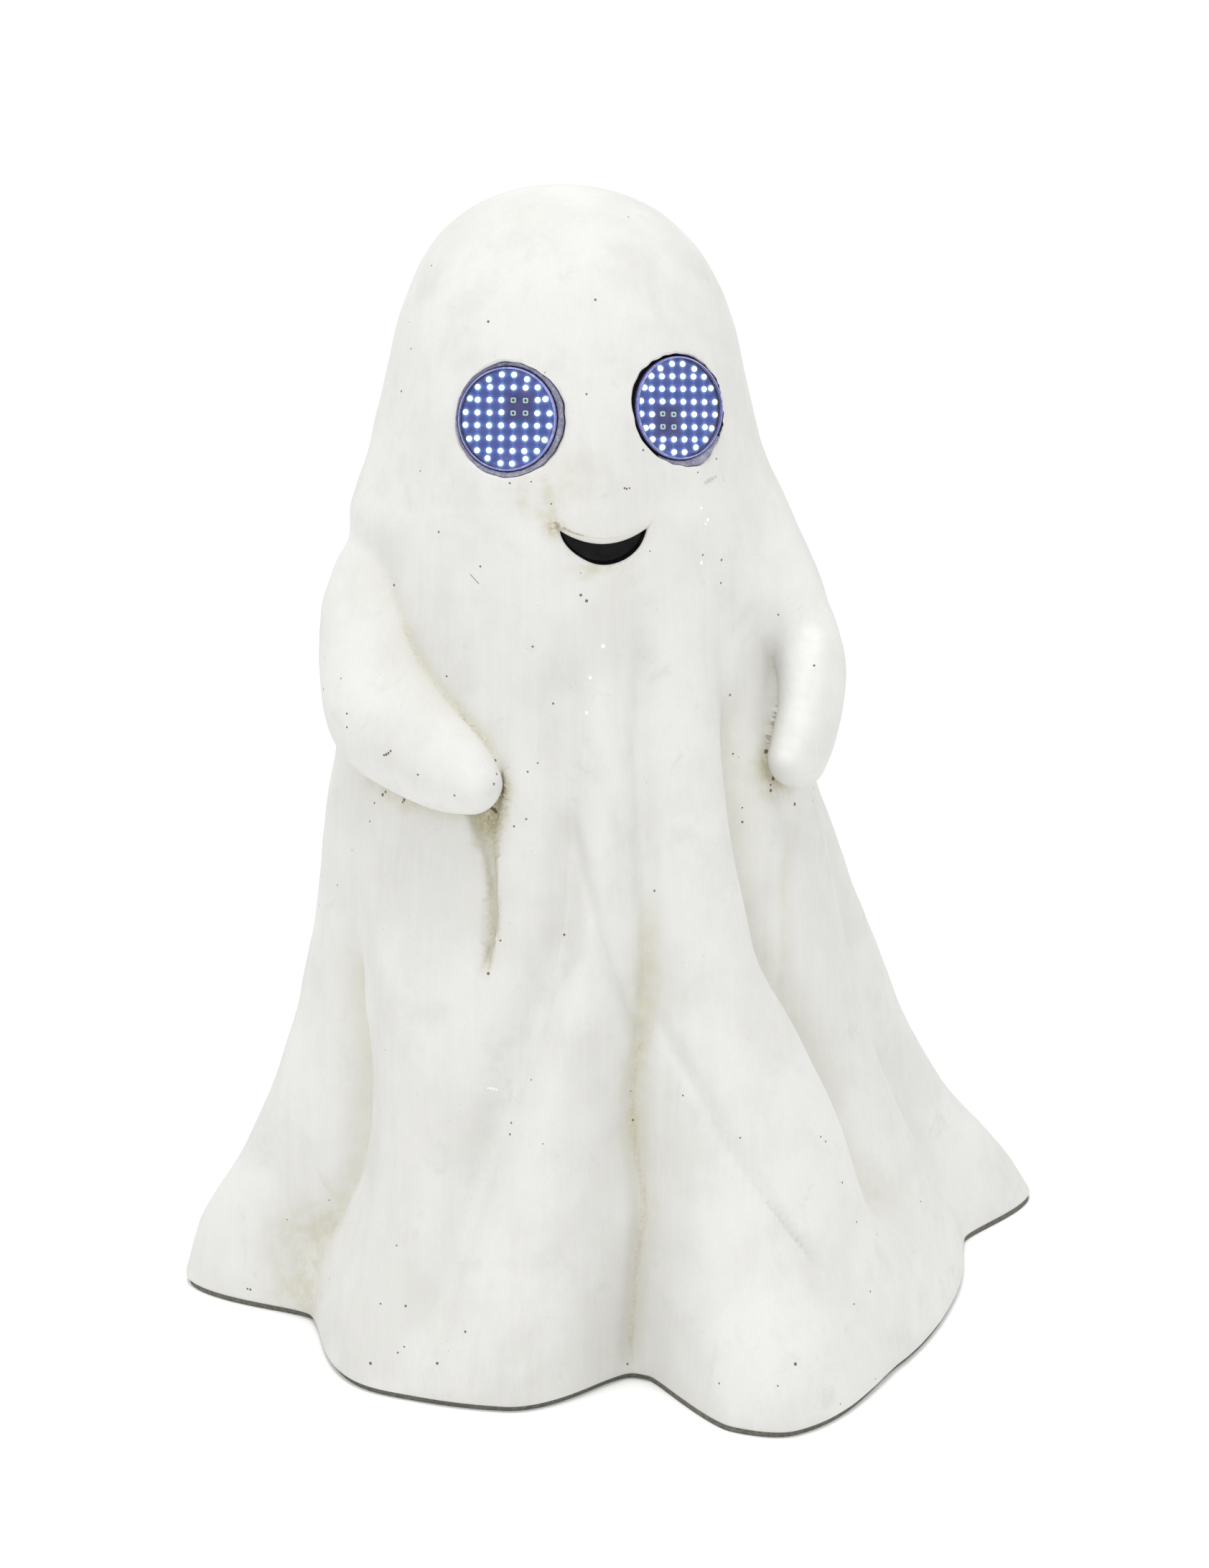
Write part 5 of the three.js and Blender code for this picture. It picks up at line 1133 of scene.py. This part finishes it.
def build_body():
    V, F, band = rings_mesh(shell_surface())
    body = obj_from("ghost_body", V, F, [MAT["magnesia"], MAT["mouth"], MAT["lining"], MAT["gap"]], shift=False)
    mats = list(body.data.materials)
    for A, nm in ((ARM_R, "limb_r"), (ARM_L, "limb_l")):
        V, F, _ = limb_mesh(A)
        c = obj_from(nm, V, F, mats, shift=False); recalc(c); boolean(body, c, "UNION")
    for key in "rl":
        V, F, band = socket_cutter(key)
        # the socket's deep wall gets the gap's near-black painted shade, the wall above it the lining's painted lamp
        # glow
        c = obj_from("cut", V, F, mats, np.where(band >= 8, 3, np.where(band >= 6, 2, 0)), shift=False); recalc(c); boolean(body, c)
    V, F, band = mouth_cutter()
    c = obj_from("cut", V, F, mats, np.where(band >= 6, 1, 0), shift=False); recalc(c); boolean(body, c)
    # seat and opening for the battery box
    for secs in ([(rrect(-37.6, 49.6, BAT_ZC - 36.6, BAT_ZC + 48.6, 3.0), BAT_PLANE), (rrect(-37.6, 49.6, BAT_ZC - 36.6, BAT_ZC + 48.6, 3.0), 102.9), (rrect(-38.6, 50.6, BAT_ZC - 37.6, BAT_ZC + 49.6, 4.0), 103.6), (rrect(-38.8, 50.8, BAT_ZC - 37.8, BAT_ZC + 49.8, 4.2), 118)],
                 [(rrect(-30, 42, BAT_ZC - 30, BAT_ZC + 42, 3.0), 60), (rrect(-30, 42, BAT_ZC - 30, BAT_ZC + 42, 3.0), 101)]):
        V, F, _ = prism_y(secs)
        c = obj_from("cut", V, F, mats, shift=False); recalc(c); boolean(body, c)
    # cavity and the step that the closing plate lies against
    IN = [-1, 12, 25, 40, 60, 80, 100, 125, 150, 175, 200, 230, 260, 290, 320, 345, 372, 398, 420, 438, 452, 463]
    cnt = [max(2, int(c * 1.5)) for c in COLS]

    def ringset(levels, rf):
        out = []
        for z in levels:
            th = columns(z, cnt); r = rf(th, z); out.append(np.stack([float(LX(z)) + r * np.sin(np.radians(th)), -r * np.cos(np.radians(th)), np.full(len(th), z)], -1))
        return out
    V, F, _ = rings_mesh(ringset(IN, inner_row))
    c = obj_from("cut", V, F, mats, shift=False); recalc(c); boolean(body, c)
    th8 = columns(8, cnt); seat = inner_row(th8, 8) + 3
    V, F, _ = rings_mesh([np.stack([float(LX(8)) + seat * np.sin(np.radians(th8)), -seat * np.cos(np.radians(th8)), np.full(len(th8), z)], -1) for z in (-1, LEDGE_Z)])
    c = obj_from("cut", V, F, mats, shift=False); recalc(c); boolean(body, c)
    # bosses for the plate screws
    for t in (-105, -45, 30, 80, 150, 190, 225):
        r = float(inner_row(np.array([t], float), 8)[0]) - 4
        cx, cy = float(LX(8)) + r * math.sin(math.radians(t)), -r * math.cos(math.radians(t))
        V, F, _ = lathe([(0, LEDGE_Z), (6.3, LEDGE_Z), (6.5, LEDGE_Z + .3), (6.5, 23.4), (5.9, 24), (0, 24)], 32)
        c = obj_from("cut", V + np.array([cx, cy, 0]), F, mats, shift=False); recalc(c); boolean(body, c, "UNION")
        V, F, _ = lathe([(0, 2), (1.5, 2), (1.5, 18), (0, 18)], 16)
        c = obj_from("cut", V + np.array([cx, cy, 0]), F, mats, shift=False); recalc(c); boolean(body, c)
    refine_arms(body)
    me = body.data
    co = np.zeros(len(me.vertices) * 3); me.vertices.foreach_get("co", co); P = co.reshape(-1, 3) * 1000
    for n, v in masks(P).items():
        a = me.attributes.new(n, "FLOAT", "POINT"); a.data.foreach_set("value", v.astype(np.float32))
    P2 = P.copy(); P2[:, 0] += SX; P2[:, 1] += SY
    me.vertices.foreach_set("co", (P2 / 1000).ravel()); me.update()
    me.polygons.foreach_set("use_smooth", np.ones(len(me.polygons), bool))
    me.set_sharp_from_angle(angle=math.radians(50))
    me.update()
    return body


body = build_body()
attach(body, "figure"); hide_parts("body_shell")

# ------------------------------------------------------------------ eyes
LAMPS = [(i - 2.5, j - 2.5) for i in range(6) for j in range(6)]
for s in (-1, 1):
    for q in (-1, 1):
        LAMPS += [(s * .5, q * 3.5), (s * 1.6, q * 3.12), (s * 3.5, q * .5), (s * 3.15, q * 1.6)]
DARK = {"r": [(.5, 1.5), (1.5, 1.5), (.5, .5), (1.5, .5)], "l": [(-1.5, -.5), (-.5, -.5), (-1.5, -1.5), (-.5, -1.5)]}


def lamp_parts(x, y, lit, rot):
    """one lamp: a rounded square package with a round lens"""
    n = 24; a = np.arange(n) * 2 * np.pi / n
    def sq(h, r):
        # rounded square as radius per angle
        c = np.maximum(np.abs(np.cos(a)), np.abs(np.sin(a))); q = h / c
        return np.minimum(q, np.hypot(h, h) - r * .42)
    z0 = -4.25
    out = []
    if lit:
        R = [(1.0, z0), (1.04, z0 + .35), (1.0, z0 + .62), (.90, z0 + .84), (.72, z0 + .98), (.36, z0 + 1.05)]
        V, F, _ = rings_mesh([np.stack([x + r * np.cos(a), y + r * np.sin(a), np.full(n, z)], -1) for r, z in R])
        out.append((V, F, 0))
    else:
        o = sq(.98, .5)
        prof = [(1.0, z0), (1.0, z0 + .62), (.95, z0 + .72), (.66, z0 + .72), (.60, z0 + .60), (.60, z0 + .1), (.60, z0)]
        seg = [np.stack([x + (o * r if r > .8 else np.minimum(o, r * 1.0)) * np.cos(a + rot), y + (o * r if r > .8 else np.minimum(o, r * 1.0)) * np.sin(a + rot), np.full(n, z)], -1) for r, z in prof]
        V = np.concatenate(seg); F = []
        for k in range(len(seg)):
            b = ((k + 1) % len(seg)) * n
            for i in range(n):
                j = (i + 1) % n; F.append((k * n + i, k * n + j, b + j, b + i))
        out.append((V, F, 1))
        V, F, _ = rings_mesh([np.stack([x + r * np.cos(a), y + r * np.sin(a), np.full(n, z)], -1) for r, z in ((.56, z0), (.56, z0 + .3), (.3, z0 + .42))])
        out.append((V, F, 2))
    return out


def eye(key):
    M = EYE[key]; S = key
    # board, a disc of fine squares so that the glow between lamps is smooth
    n = 96; g = np.linspace(-1, 1, n)
    X, Y = np.meshgrid(g, g); U = X * np.sqrt(1 - Y * Y / 2) * 18.85; W = Y * np.sqrt(1 - X * X / 2) * 18.85
    top = np.stack([U.ravel(), W.ravel(), np.full(n * n, -4.2)], -1); bot = top.copy(); bot[:, 2] = -5.8
    F = []
    idx = np.arange(n * n).reshape(n, n)
    for i in range(n - 1):
        for j in range(n - 1):
            F.append((idx[i, j], idx[i, j + 1], idx[i + 1, j + 1], idx[i + 1, j]))
            F.append((n * n + idx[i, j], n * n + idx[i + 1, j], n * n + idx[i + 1, j + 1], n * n + idx[i, j + 1]))
    edge = list(idx[0, :-1]) + list(idx[:-1, -1]) + list(idx[-1, :0:-1]) + list(idx[:0:-1, 0])
    for a, b in zip(edge, edge[1:] + edge[:1]):
        F.append((b, a, n * n + a, n * n + b))
    parts = [(np.concatenate([top, bot]), F, 3)]
    lit = [l for l in LAMPS if l not in DARK[key]]
    ta, off = (math.radians(3.0), -.5) if key == "r" else (math.radians(-7.0), .5)
    put = lambda l: (LED_PITCH * .985 * (l[0] * math.cos(ta) - l[1] * math.sin(ta)) + off, LED_PITCH * .985 * (l[0] * math.sin(ta) + l[1] * math.cos(ta)))
    rs = np.random.RandomState(3 if key == "r" else 4)
    for l in LAMPS:
        jx, jy = rs.normal(size=2) * .07
        px, py = put(l); parts += lamp_parts(px + jx, py + jy, l in lit, ta)
    V, F, mi = join_parts(parts)
    o = obj_from(f"eye_{S}_lamp_board", place(M, V), F, [MAT["lamp_on"], MAT["lamp_frame"], MAT["lamp_off"], MAT["board"]], mi)
    nb = 2 * n * n; P = np.concatenate([top, bot])[:, :2]
    L = np.array([put(l) for l in lit]); D = np.array([put(l) for l in DARK[key]])
    dl = np.sqrt(((P[:, None] - L[None]) ** 2).sum(-1)); near = dl.min(1)
    halo = np.exp(-((np.maximum(near - .9, 0)) / .42) ** 1.3) * .85
    soft = np.exp(-(dl / 2.6) ** 2).sum(1)
    dd = np.sqrt(((P[:, None] - D[None]) ** 2).sum(-1)).min(1)
    dark = np.exp(-(dd / 3.6) ** 2) * .8
    # faint light that runs from lamp to lamp along the rows
    Qx = ((P[:, 0] - off) * math.cos(ta) + P[:, 1] * math.sin(ta)) / (LED_PITCH * .985); Qy = (P[:, 1] * math.cos(ta) - (P[:, 0] - off) * math.sin(ta)) / (LED_PITCH * .985)
    gx = np.abs(Qx % 1 - .5) * LED_PITCH; gy = np.abs(Qy % 1 - .5) * LED_PITCH
    inside = np.hypot(*P.T) < 18.0
    h = np.exp(-(gy / .55) ** 2) * (near < 3.2); v = np.exp(-(gx / .5) ** 2) * (near < 3.2)
    line = (np.maximum(h * (.5 if key == "r" else .85), v * (.85 if key == "r" else .55))) * inside * (1 - np.exp(-(dd / 2.6) ** 2))
    for nm, val in (("halo", halo), ("line", line), ("dark", dark), ("near", np.clip(soft, 0, 1))):
        a = o.data.attributes.new(nm, "FLOAT", "POINT"); q = np.zeros(len(V), np.float32); q[:nb] = val; a.data.foreach_set("value", q)
    o.data.set_sharp_from_angle(angle=math.radians(40))
    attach(o, "figure"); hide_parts(f"eye_{S}_led_board")
    # window: clear middle, groove, milky rim
    prof = [(0, -3.0), (18.95, -3.0), (19.1, -2.95), (19.45, -3.0), (19.8, -2.75), (19.9, -2.4), (19.9, -1.75), (19.78, -1.32), (19.55, -1.06), (19.3, -.98), (19.14, -1.08), (19.05, -1.3), (18.95, -1.06), (18.8, -1.0), (0, -1.0)]
    V, F, band = lathe(prof, 128, M)
    # bands: faces between profile points, then caps
    pts = [p for p in prof if p[0] > 0]
    mi = []
    for b in band:
        if b in (-1, len(pts) - 1): mi.append(0)
        else:
            r = (pts[b][0] + pts[b + 1][0]) / 2; z = (pts[b][1] + pts[b + 1][1]) / 2
            mi.append(0 if r < 18.9 or (r < 19.06 and z < -2.5) else (2 if 18.9 < r < 19.12 and z > -2 else 1))
    o = obj_from(f"eye_{S}_lens", V, F, [MAT["window"], MAT["rim"], MAT["groove"]], mi)
    recalc(o); o.data.set_sharp_from_angle(angle=math.radians(50))
    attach(o, "figure"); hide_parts(f"eye_{S}_window")
    # lining between the eye and its socket, rough and uneven
    seg = 200; a = np.arange(seg) * 2 * np.pi / seg; r1 = sock_r(key, a) - .12
    rs = np.random.RandomState(21 if key == "r" else 22)

    def rough(amp, k0, k1):
        v = np.zeros(seg)
        for k in range(k0, k1): v += amp / math.sqrt(k1 - k0) * np.cos(k * a + rs.uniform(0, 6.28))
        return v
    deg = (np.degrees(a) + 180) % 360 - 180
    if key == "r":
        high = np.interp(deg, [-180, -140, -90, -50, 0, 60, 90, 130, 180], [-2.2, -1.9, -1.5, -2.0, -2.4, -2.4, -2.4, -2.6, -2.2])
    else:
        high = np.interp(deg, [-180, -130, -105, -85, -55, -35, 0, 60, 120, 180], [-3.9, -3.6, -2.0, -1.2, -1.6, -2.8, -3.4, -3.4, -4.0, -3.9])
    prof = [(0, -4.5, 0), (0, None, -.45), (.25, None, -.12), (.55, None, 0), (.85, None, .05), (1.0, None, .1), (1.0, -4.5, 0)]
    R = []
    for f, w, add in prof:
        r = 20.3 + (r1 - 20.3) * f
        if w is None: ww = high + add + rough(.16, 12, 60) * (.4 + f) + f * .35; r = r + rough(.07, 20, 70)
        else: ww = np.full(seg, w)
        r = np.clip(r, 20.25, np.maximum(r1, 20.35))
        R.append(np.stack([r * np.cos(a), r * np.sin(a), ww], -1))
    V = np.concatenate(R); F = []
    for k in range(len(R)):
        b = ((k + 1) % len(R)) * seg
        for i in range(seg):
            j = (i + 1) % seg; F.append((k * seg + i, k * seg + j, b + j, b + i))
    # the left one is painted near-black as shade but for its lower side, which keeps the lining's painted lamp glow
    fm = []
    for k in range(len(R)):
        for i in range(seg):
            fm.append(0 if (key == "r" or -125 < deg[i] < -38) else 1)
    o = obj_from(f"eye_{S}_lining", place(M, V), F, [MAT["lining"], MAT["gap"]], fm)
    recalc(o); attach(o, "figure"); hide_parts(f"eye_{S}_gasket")


eye("r"); eye("l")


# ------------------------------------------------------------------ plate, battery box and fittings
def bevelled(node, name, mat, width, seg=2, slot_name=None, limit=30):
    """the CAD part's own shape with its edges rounded"""
    src = bpy.data.objects[frame["nodes"][node].name] if hasattr(frame["nodes"][node], "name") else bpy.data.objects[node]
    bm = bmesh.new(); bm.from_mesh(src.data)
    bmesh.ops.remove_doubles(bm, verts=bm.verts, dist=2e-5)
    bmesh.ops.dissolve_limit(bm, angle_limit=math.radians(1.0), verts=bm.verts, edges=bm.edges)
    me = bpy.data.meshes.new(name); bm.to_mesh(me); bm.free()
    o = bpy.data.objects.new(name, me); bpy.context.scene.collection.objects.link(o)
    o.data.materials.clear(); o.data.materials.append(MAT[mat])
    b = o.modifiers.new("b", "BEVEL"); b.width = width / 1000; b.segments = seg; b.limit_method = "ANGLE"; b.angle_limit = math.radians(limit); b.use_clamp_overlap = True; b.harden_normals = False
    dg = bpy.context.evaluated_depsgraph_get()
    m2 = bpy.data.meshes.new_from_object(o.evaluated_get(dg)); o.modifiers.clear(); old = o.data; o.data = m2; bpy.data.meshes.remove(old)
    m2.polygons.foreach_set("use_smooth", np.ones(len(m2.polygons), bool)); m2.polygons.foreach_set("material_index", np.zeros(len(m2.polygons), np.int32))
    m2.set_sharp_from_angle(angle=math.radians(35)); m2.update()
    return o


def body_for(node):
    return {"battery_door": "door", "door_screw": "lock", "switch_knob": "knob"}.get(node, "figure")


def own(o, node):
    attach(o, body_for(node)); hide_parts(node)


for node, mat, w, sl in (("battery_housing", "black", .45, "black_plastic"), ("battery_door", "black", .4, "black_plastic"), ("battery_gasket", "foam", .3, "foam"),
                         ("controller_case", "black", .5, "black_plastic"), ("switch_body", "steel", .2, "steel"), ("switch_knob", "knob", .22, "black_plastic"),
                         ("contact_negative", "nickel", .12, "nickel"), ("contact_positive", "nickel", .12, "nickel"), ("contact_bridge_left", "nickel", .12, "nickel"), ("contact_bridge_right", "nickel", .12, "nickel"),
                         ("base_plate", "plate", .4, "base_plastic"), ("controller_board", "pcb", .1, "circuit_board")):
    own(bevelled(node, node + "_finished", mat, w), node)


def centre(node):
    a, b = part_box(node); return (np.array(a) + np.array(b)) * 500


def screw(node, axis, prof, seg=48, cross=None, mat="steel"):
    """frame whose local z runs along an axis; prof (radius, height) is not used"""
    M = np.eye(4); ax = np.array(axis, float); ax /= np.linalg.norm(ax)
    u = np.array([1.0, 0, 0]) if abs(ax[0]) < .9 else np.array([0, 1.0, 0]); u = u - u.dot(ax) * ax; u /= np.linalg.norm(u)
    M[:3, 0] = u; M[:3, 1] = np.cross(ax, u); M[:3, 2] = ax
    return M


def node_verts(node):
    me = bpy.data.objects[node].data if node in bpy.data.objects else frame["nodes"][node].data
    co = np.zeros(len(me.vertices) * 3); me.vertices.foreach_get("co", co); return co.reshape(-1, 3) * 1000


def turned(node, name, ax, profile, recess, mat="steel"):
    """profile heights run along ax from the node's lowest point on that axis"""
    P = node_verts(node); ax = np.array(ax, float); ax /= np.linalg.norm(ax)
    h = P @ ax; c = P.mean(0); h0 = h.min(); c = (P[(h - h0) < .5].mean(0)) if ((h - h0) < .5).sum() > 2 else c
    lo, hi = P.min(0), P.max(0)
    # axis through the middle of the ring of vertices
    u = np.array([1.0, 0, 0]) if abs(ax[0]) < .9 else np.array([0, 1.0, 0]); u = u - u.dot(ax) * ax; u /= np.linalg.norm(u); v = np.cross(ax, u)
    cu = (P @ u); cv = (P @ v); cu = (cu.min() + cu.max()) / 2; cv = (cv.min() + cv.max()) / 2
    M = np.eye(4); M[:3, 0] = u; M[:3, 1] = v; M[:3, 2] = ax; M[:3, 3] = u * cu + v * cv + ax * h0
    V, F, _ = lathe(profile, 48, M)
    o = obj_from(name, V, F, [MAT[mat]], shift=False); recalc(o)
    if recess:
        (hh, dd, ll, ww) = recess
        cuts = []
        for k in range(2 if ww > 0 else 1):
            w2 = abs(ww) / 2; l2 = ll / 2; Q = [(-l2, -w2), (l2, -w2), (l2, w2), (-l2, w2)] if k == 0 else [(-w2, -l2), (w2, -l2), (w2, l2), (-w2, l2)]
            R = [np.array([(x * s, y * s, z) for x, y in Q]) for z, s in ((min(hh, hh + dd * 1.6), 1.0), (max(hh, hh + dd * 1.6), 1.0))] if False else [np.array([(x, y, z) for x, y in Q]) for z in sorted((hh - dd, hh + dd))]
            V, F, _ = rings_mesh(R); c = obj_from("cut", place(M, V), F, [MAT[mat]], shift=False); recalc(c); boolean(o, c)
    o.data.polygons.foreach_set("use_smooth", np.ones(len(o.data.polygons), bool)); o.data.set_sharp_from_angle(angle=math.radians(32))
    own(o, node)
    return o


for i in range(7):
    n = f"base_screw_{i + 1}"
    turned(n, n + "_turned", (0, 0, 1), [(0, 0), (1.5, .08), (2.3, .35), (2.75, .95), (2.8, 1.7), (1.15, 1.8), (1.05, 2.2), (1.15, 2.6), (1.05, 3.0), (1.15, 3.4), (1.05, 3.8), (1.15, 4.2), (1.05, 4.6), (1.15, 5.0), (1.05, 5.4), (1.1, 11.4), (0, 12.4)], (0.0, .9, 3.4, .55))
for i in range(4):
    n = f"flange_screw_{i + 1}"
    P = node_verts(n); L = np.ptp(P[:, 1])
    turned(n, n + "_turned", (0, 1, 0), [(0, 0), (1.1, .6), (1.1, L - 1.55), (2.9, L - 1.5), (2.88, L - 1.0), (2.3, L - .35), (1.3, L - .05), (0, L)], (L, .9, 3.4, .55))
P = node_verts("door_screw"); L = np.ptp(P[:, 1])
turned("door_screw", "door_screw_turned", (0, 1, 0), [(0, 0), (1.6, 0), (1.6, 2.3), (3.3, 2.42), (3.4, 2.55), (3.4, 3.2), (3.2, 3.6), (2.9, L - .08), (0, L)], (L, .75, 8.0, -1.0))
P = node_verts("hinge_pin"); L = np.ptp(P[:, 2])
turned("hinge_pin", "hinge_pin_turned", (0, 0, 1), [(0, 0), (.62, 0), (.8, .2), (.8, L - .2), (.62, L), (0, L)], None)

# cells: jacket with rolled shoulders, raised button at one end
for i in range(3):
    n = f"cell_{i + 1}"; P = node_verts(n); f = -1 if i % 2 else 1
    L = np.ptp(P[:, 0]); lo, hi = P.min(0), P.max(0)
    M = np.eye(4); M[:3, 0] = (0, 1, 0); M[:3, 1] = (0, 0, f); M[:3, 2] = (f, 0, 0)
    M[:3, 3] = (lo[0] if f > 0 else hi[0], (lo[1] + hi[1]) / 2, (lo[2] + hi[2]) / 2)
    V, F, _ = lathe([(0, .0), (4.6, 0), (5.0, .12), (5.3, .28), (6.2, .22), (6.75, .3), (7.0, .6), (7.1, 1.0), (7.1, L - 2.2), (7.02, L - 1.85), (6.7, L - 1.55), (6.2, L - 1.45), (5.6, L - 1.5), (3.0, L - 1.42), (2.76, L - 1.35), (2.74, L - .3), (2.5, L - .08), (2.2, L), (0, L)], 72, M)
    o = obj_from(n + "_jacket", V, F, [MAT["cell"]], shift=False); recalc(o); o.data.set_sharp_from_angle(angle=math.radians(40)); own(o, n)

for node, o in ((n, bpy.data.objects[n]) for n in [x.name for x in bpy.data.objects] if n in frame["nodes"]):
    if o.hide_render:
        continue
    key = "lead" if node.endswith("_lead") else "housing" if node.endswith(("_housing", "_back_plate")) else "steel" if "screw" in node else "black"
    for s in o.material_slots:
        s.material = MAT[key]

# ------------------------------------------------------------------ floor, light, camera
def stage_floor():
    n = 64; R = [0.02, .25, .6, 1.2, 2.5, 5, 9]; V = [(0, 0, 0)]; F = []
    for k, r in enumerate(R):
        for i in range(n):
            a = 2 * math.pi * i / n; V.append((1000 * r * math.cos(a), 1000 * r * math.sin(a), 0))
    for i in range(n): F.append((0, 1 + i, 1 + (i + 1) % n))
    for k in range(len(R) - 1):
        for i in range(n):
            j = (i + 1) % n; a = 1 + k * n; F.append((a + i, a + n + i, a + n + j, a + j))
    k = Nodes("floor"); m = k.noise(400, 2, .5)
    mt = k.shader(k.mix(m, (.985, .985, .983), (.990, .990, .988)), .8, None, spec=.2)
    o = obj_from("floor", V, F, [mt], shift=False)


stage_floor()


def area(name, loc, look, size, power, color=(1, 1, 1)):
    l = bpy.data.lights.new(name, "AREA"); l.shape = "DISK"; l.size = size; l.energy = power; l.color = color
    o = bpy.data.objects.new(name, l); o.location = loc
    o.rotation_euler = (Vector(look) - Vector(loc)).to_track_quat("-Z", "Y").to_euler()
    bpy.context.scene.collection.objects.link(o); return o


area("top", (-.30, -.45, 3.2), (0, 0, .2), 1.5, 34)
area("key", (-1.6, -1.15, 2.1), (0, 0, .22), .8, 3.8)
area("fill", (1.3, -1.7, 1.9), (0, 0, .25), .9, 2.6)
w = bpy.data.worlds.new("studio"); bpy.context.scene.world = w; w.use_nodes = True
bg = w.node_tree.nodes["Background"]; bg.inputs[0].default_value = (1, 1, 1, 1); bg.inputs[1].default_value = 1.0

cam = bpy.data.cameras.new("camera"); co = bpy.data.objects.new("camera", cam); bpy.context.scene.collection.objects.link(co)
psi, el, dist = math.radians(-10), math.radians(17.5), 1.5
tgt = Vector(((11 + SX) / 1000, (-38 + SY) / 1000, .240))
back = Vector((math.sin(psi) * math.cos(el), -math.cos(psi) * math.cos(el), math.sin(el)))
co.location = tgt + back * dist
co.rotation_euler = (-back).to_track_quat("-Z", "Y").to_euler()
cam.sensor_fit = "AUTO"; cam.sensor_width = 36; cam.sensor_height = 36; cam.lens = 5172 / 2184 * 36; cam.clip_start = .05; cam.clip_end = 50
bpy.context.scene.camera = co
vs = bpy.context.scene.view_settings; vs.view_transform = "Standard"; vs.look = "None"; vs.exposure = 0; vs.gamma = 1
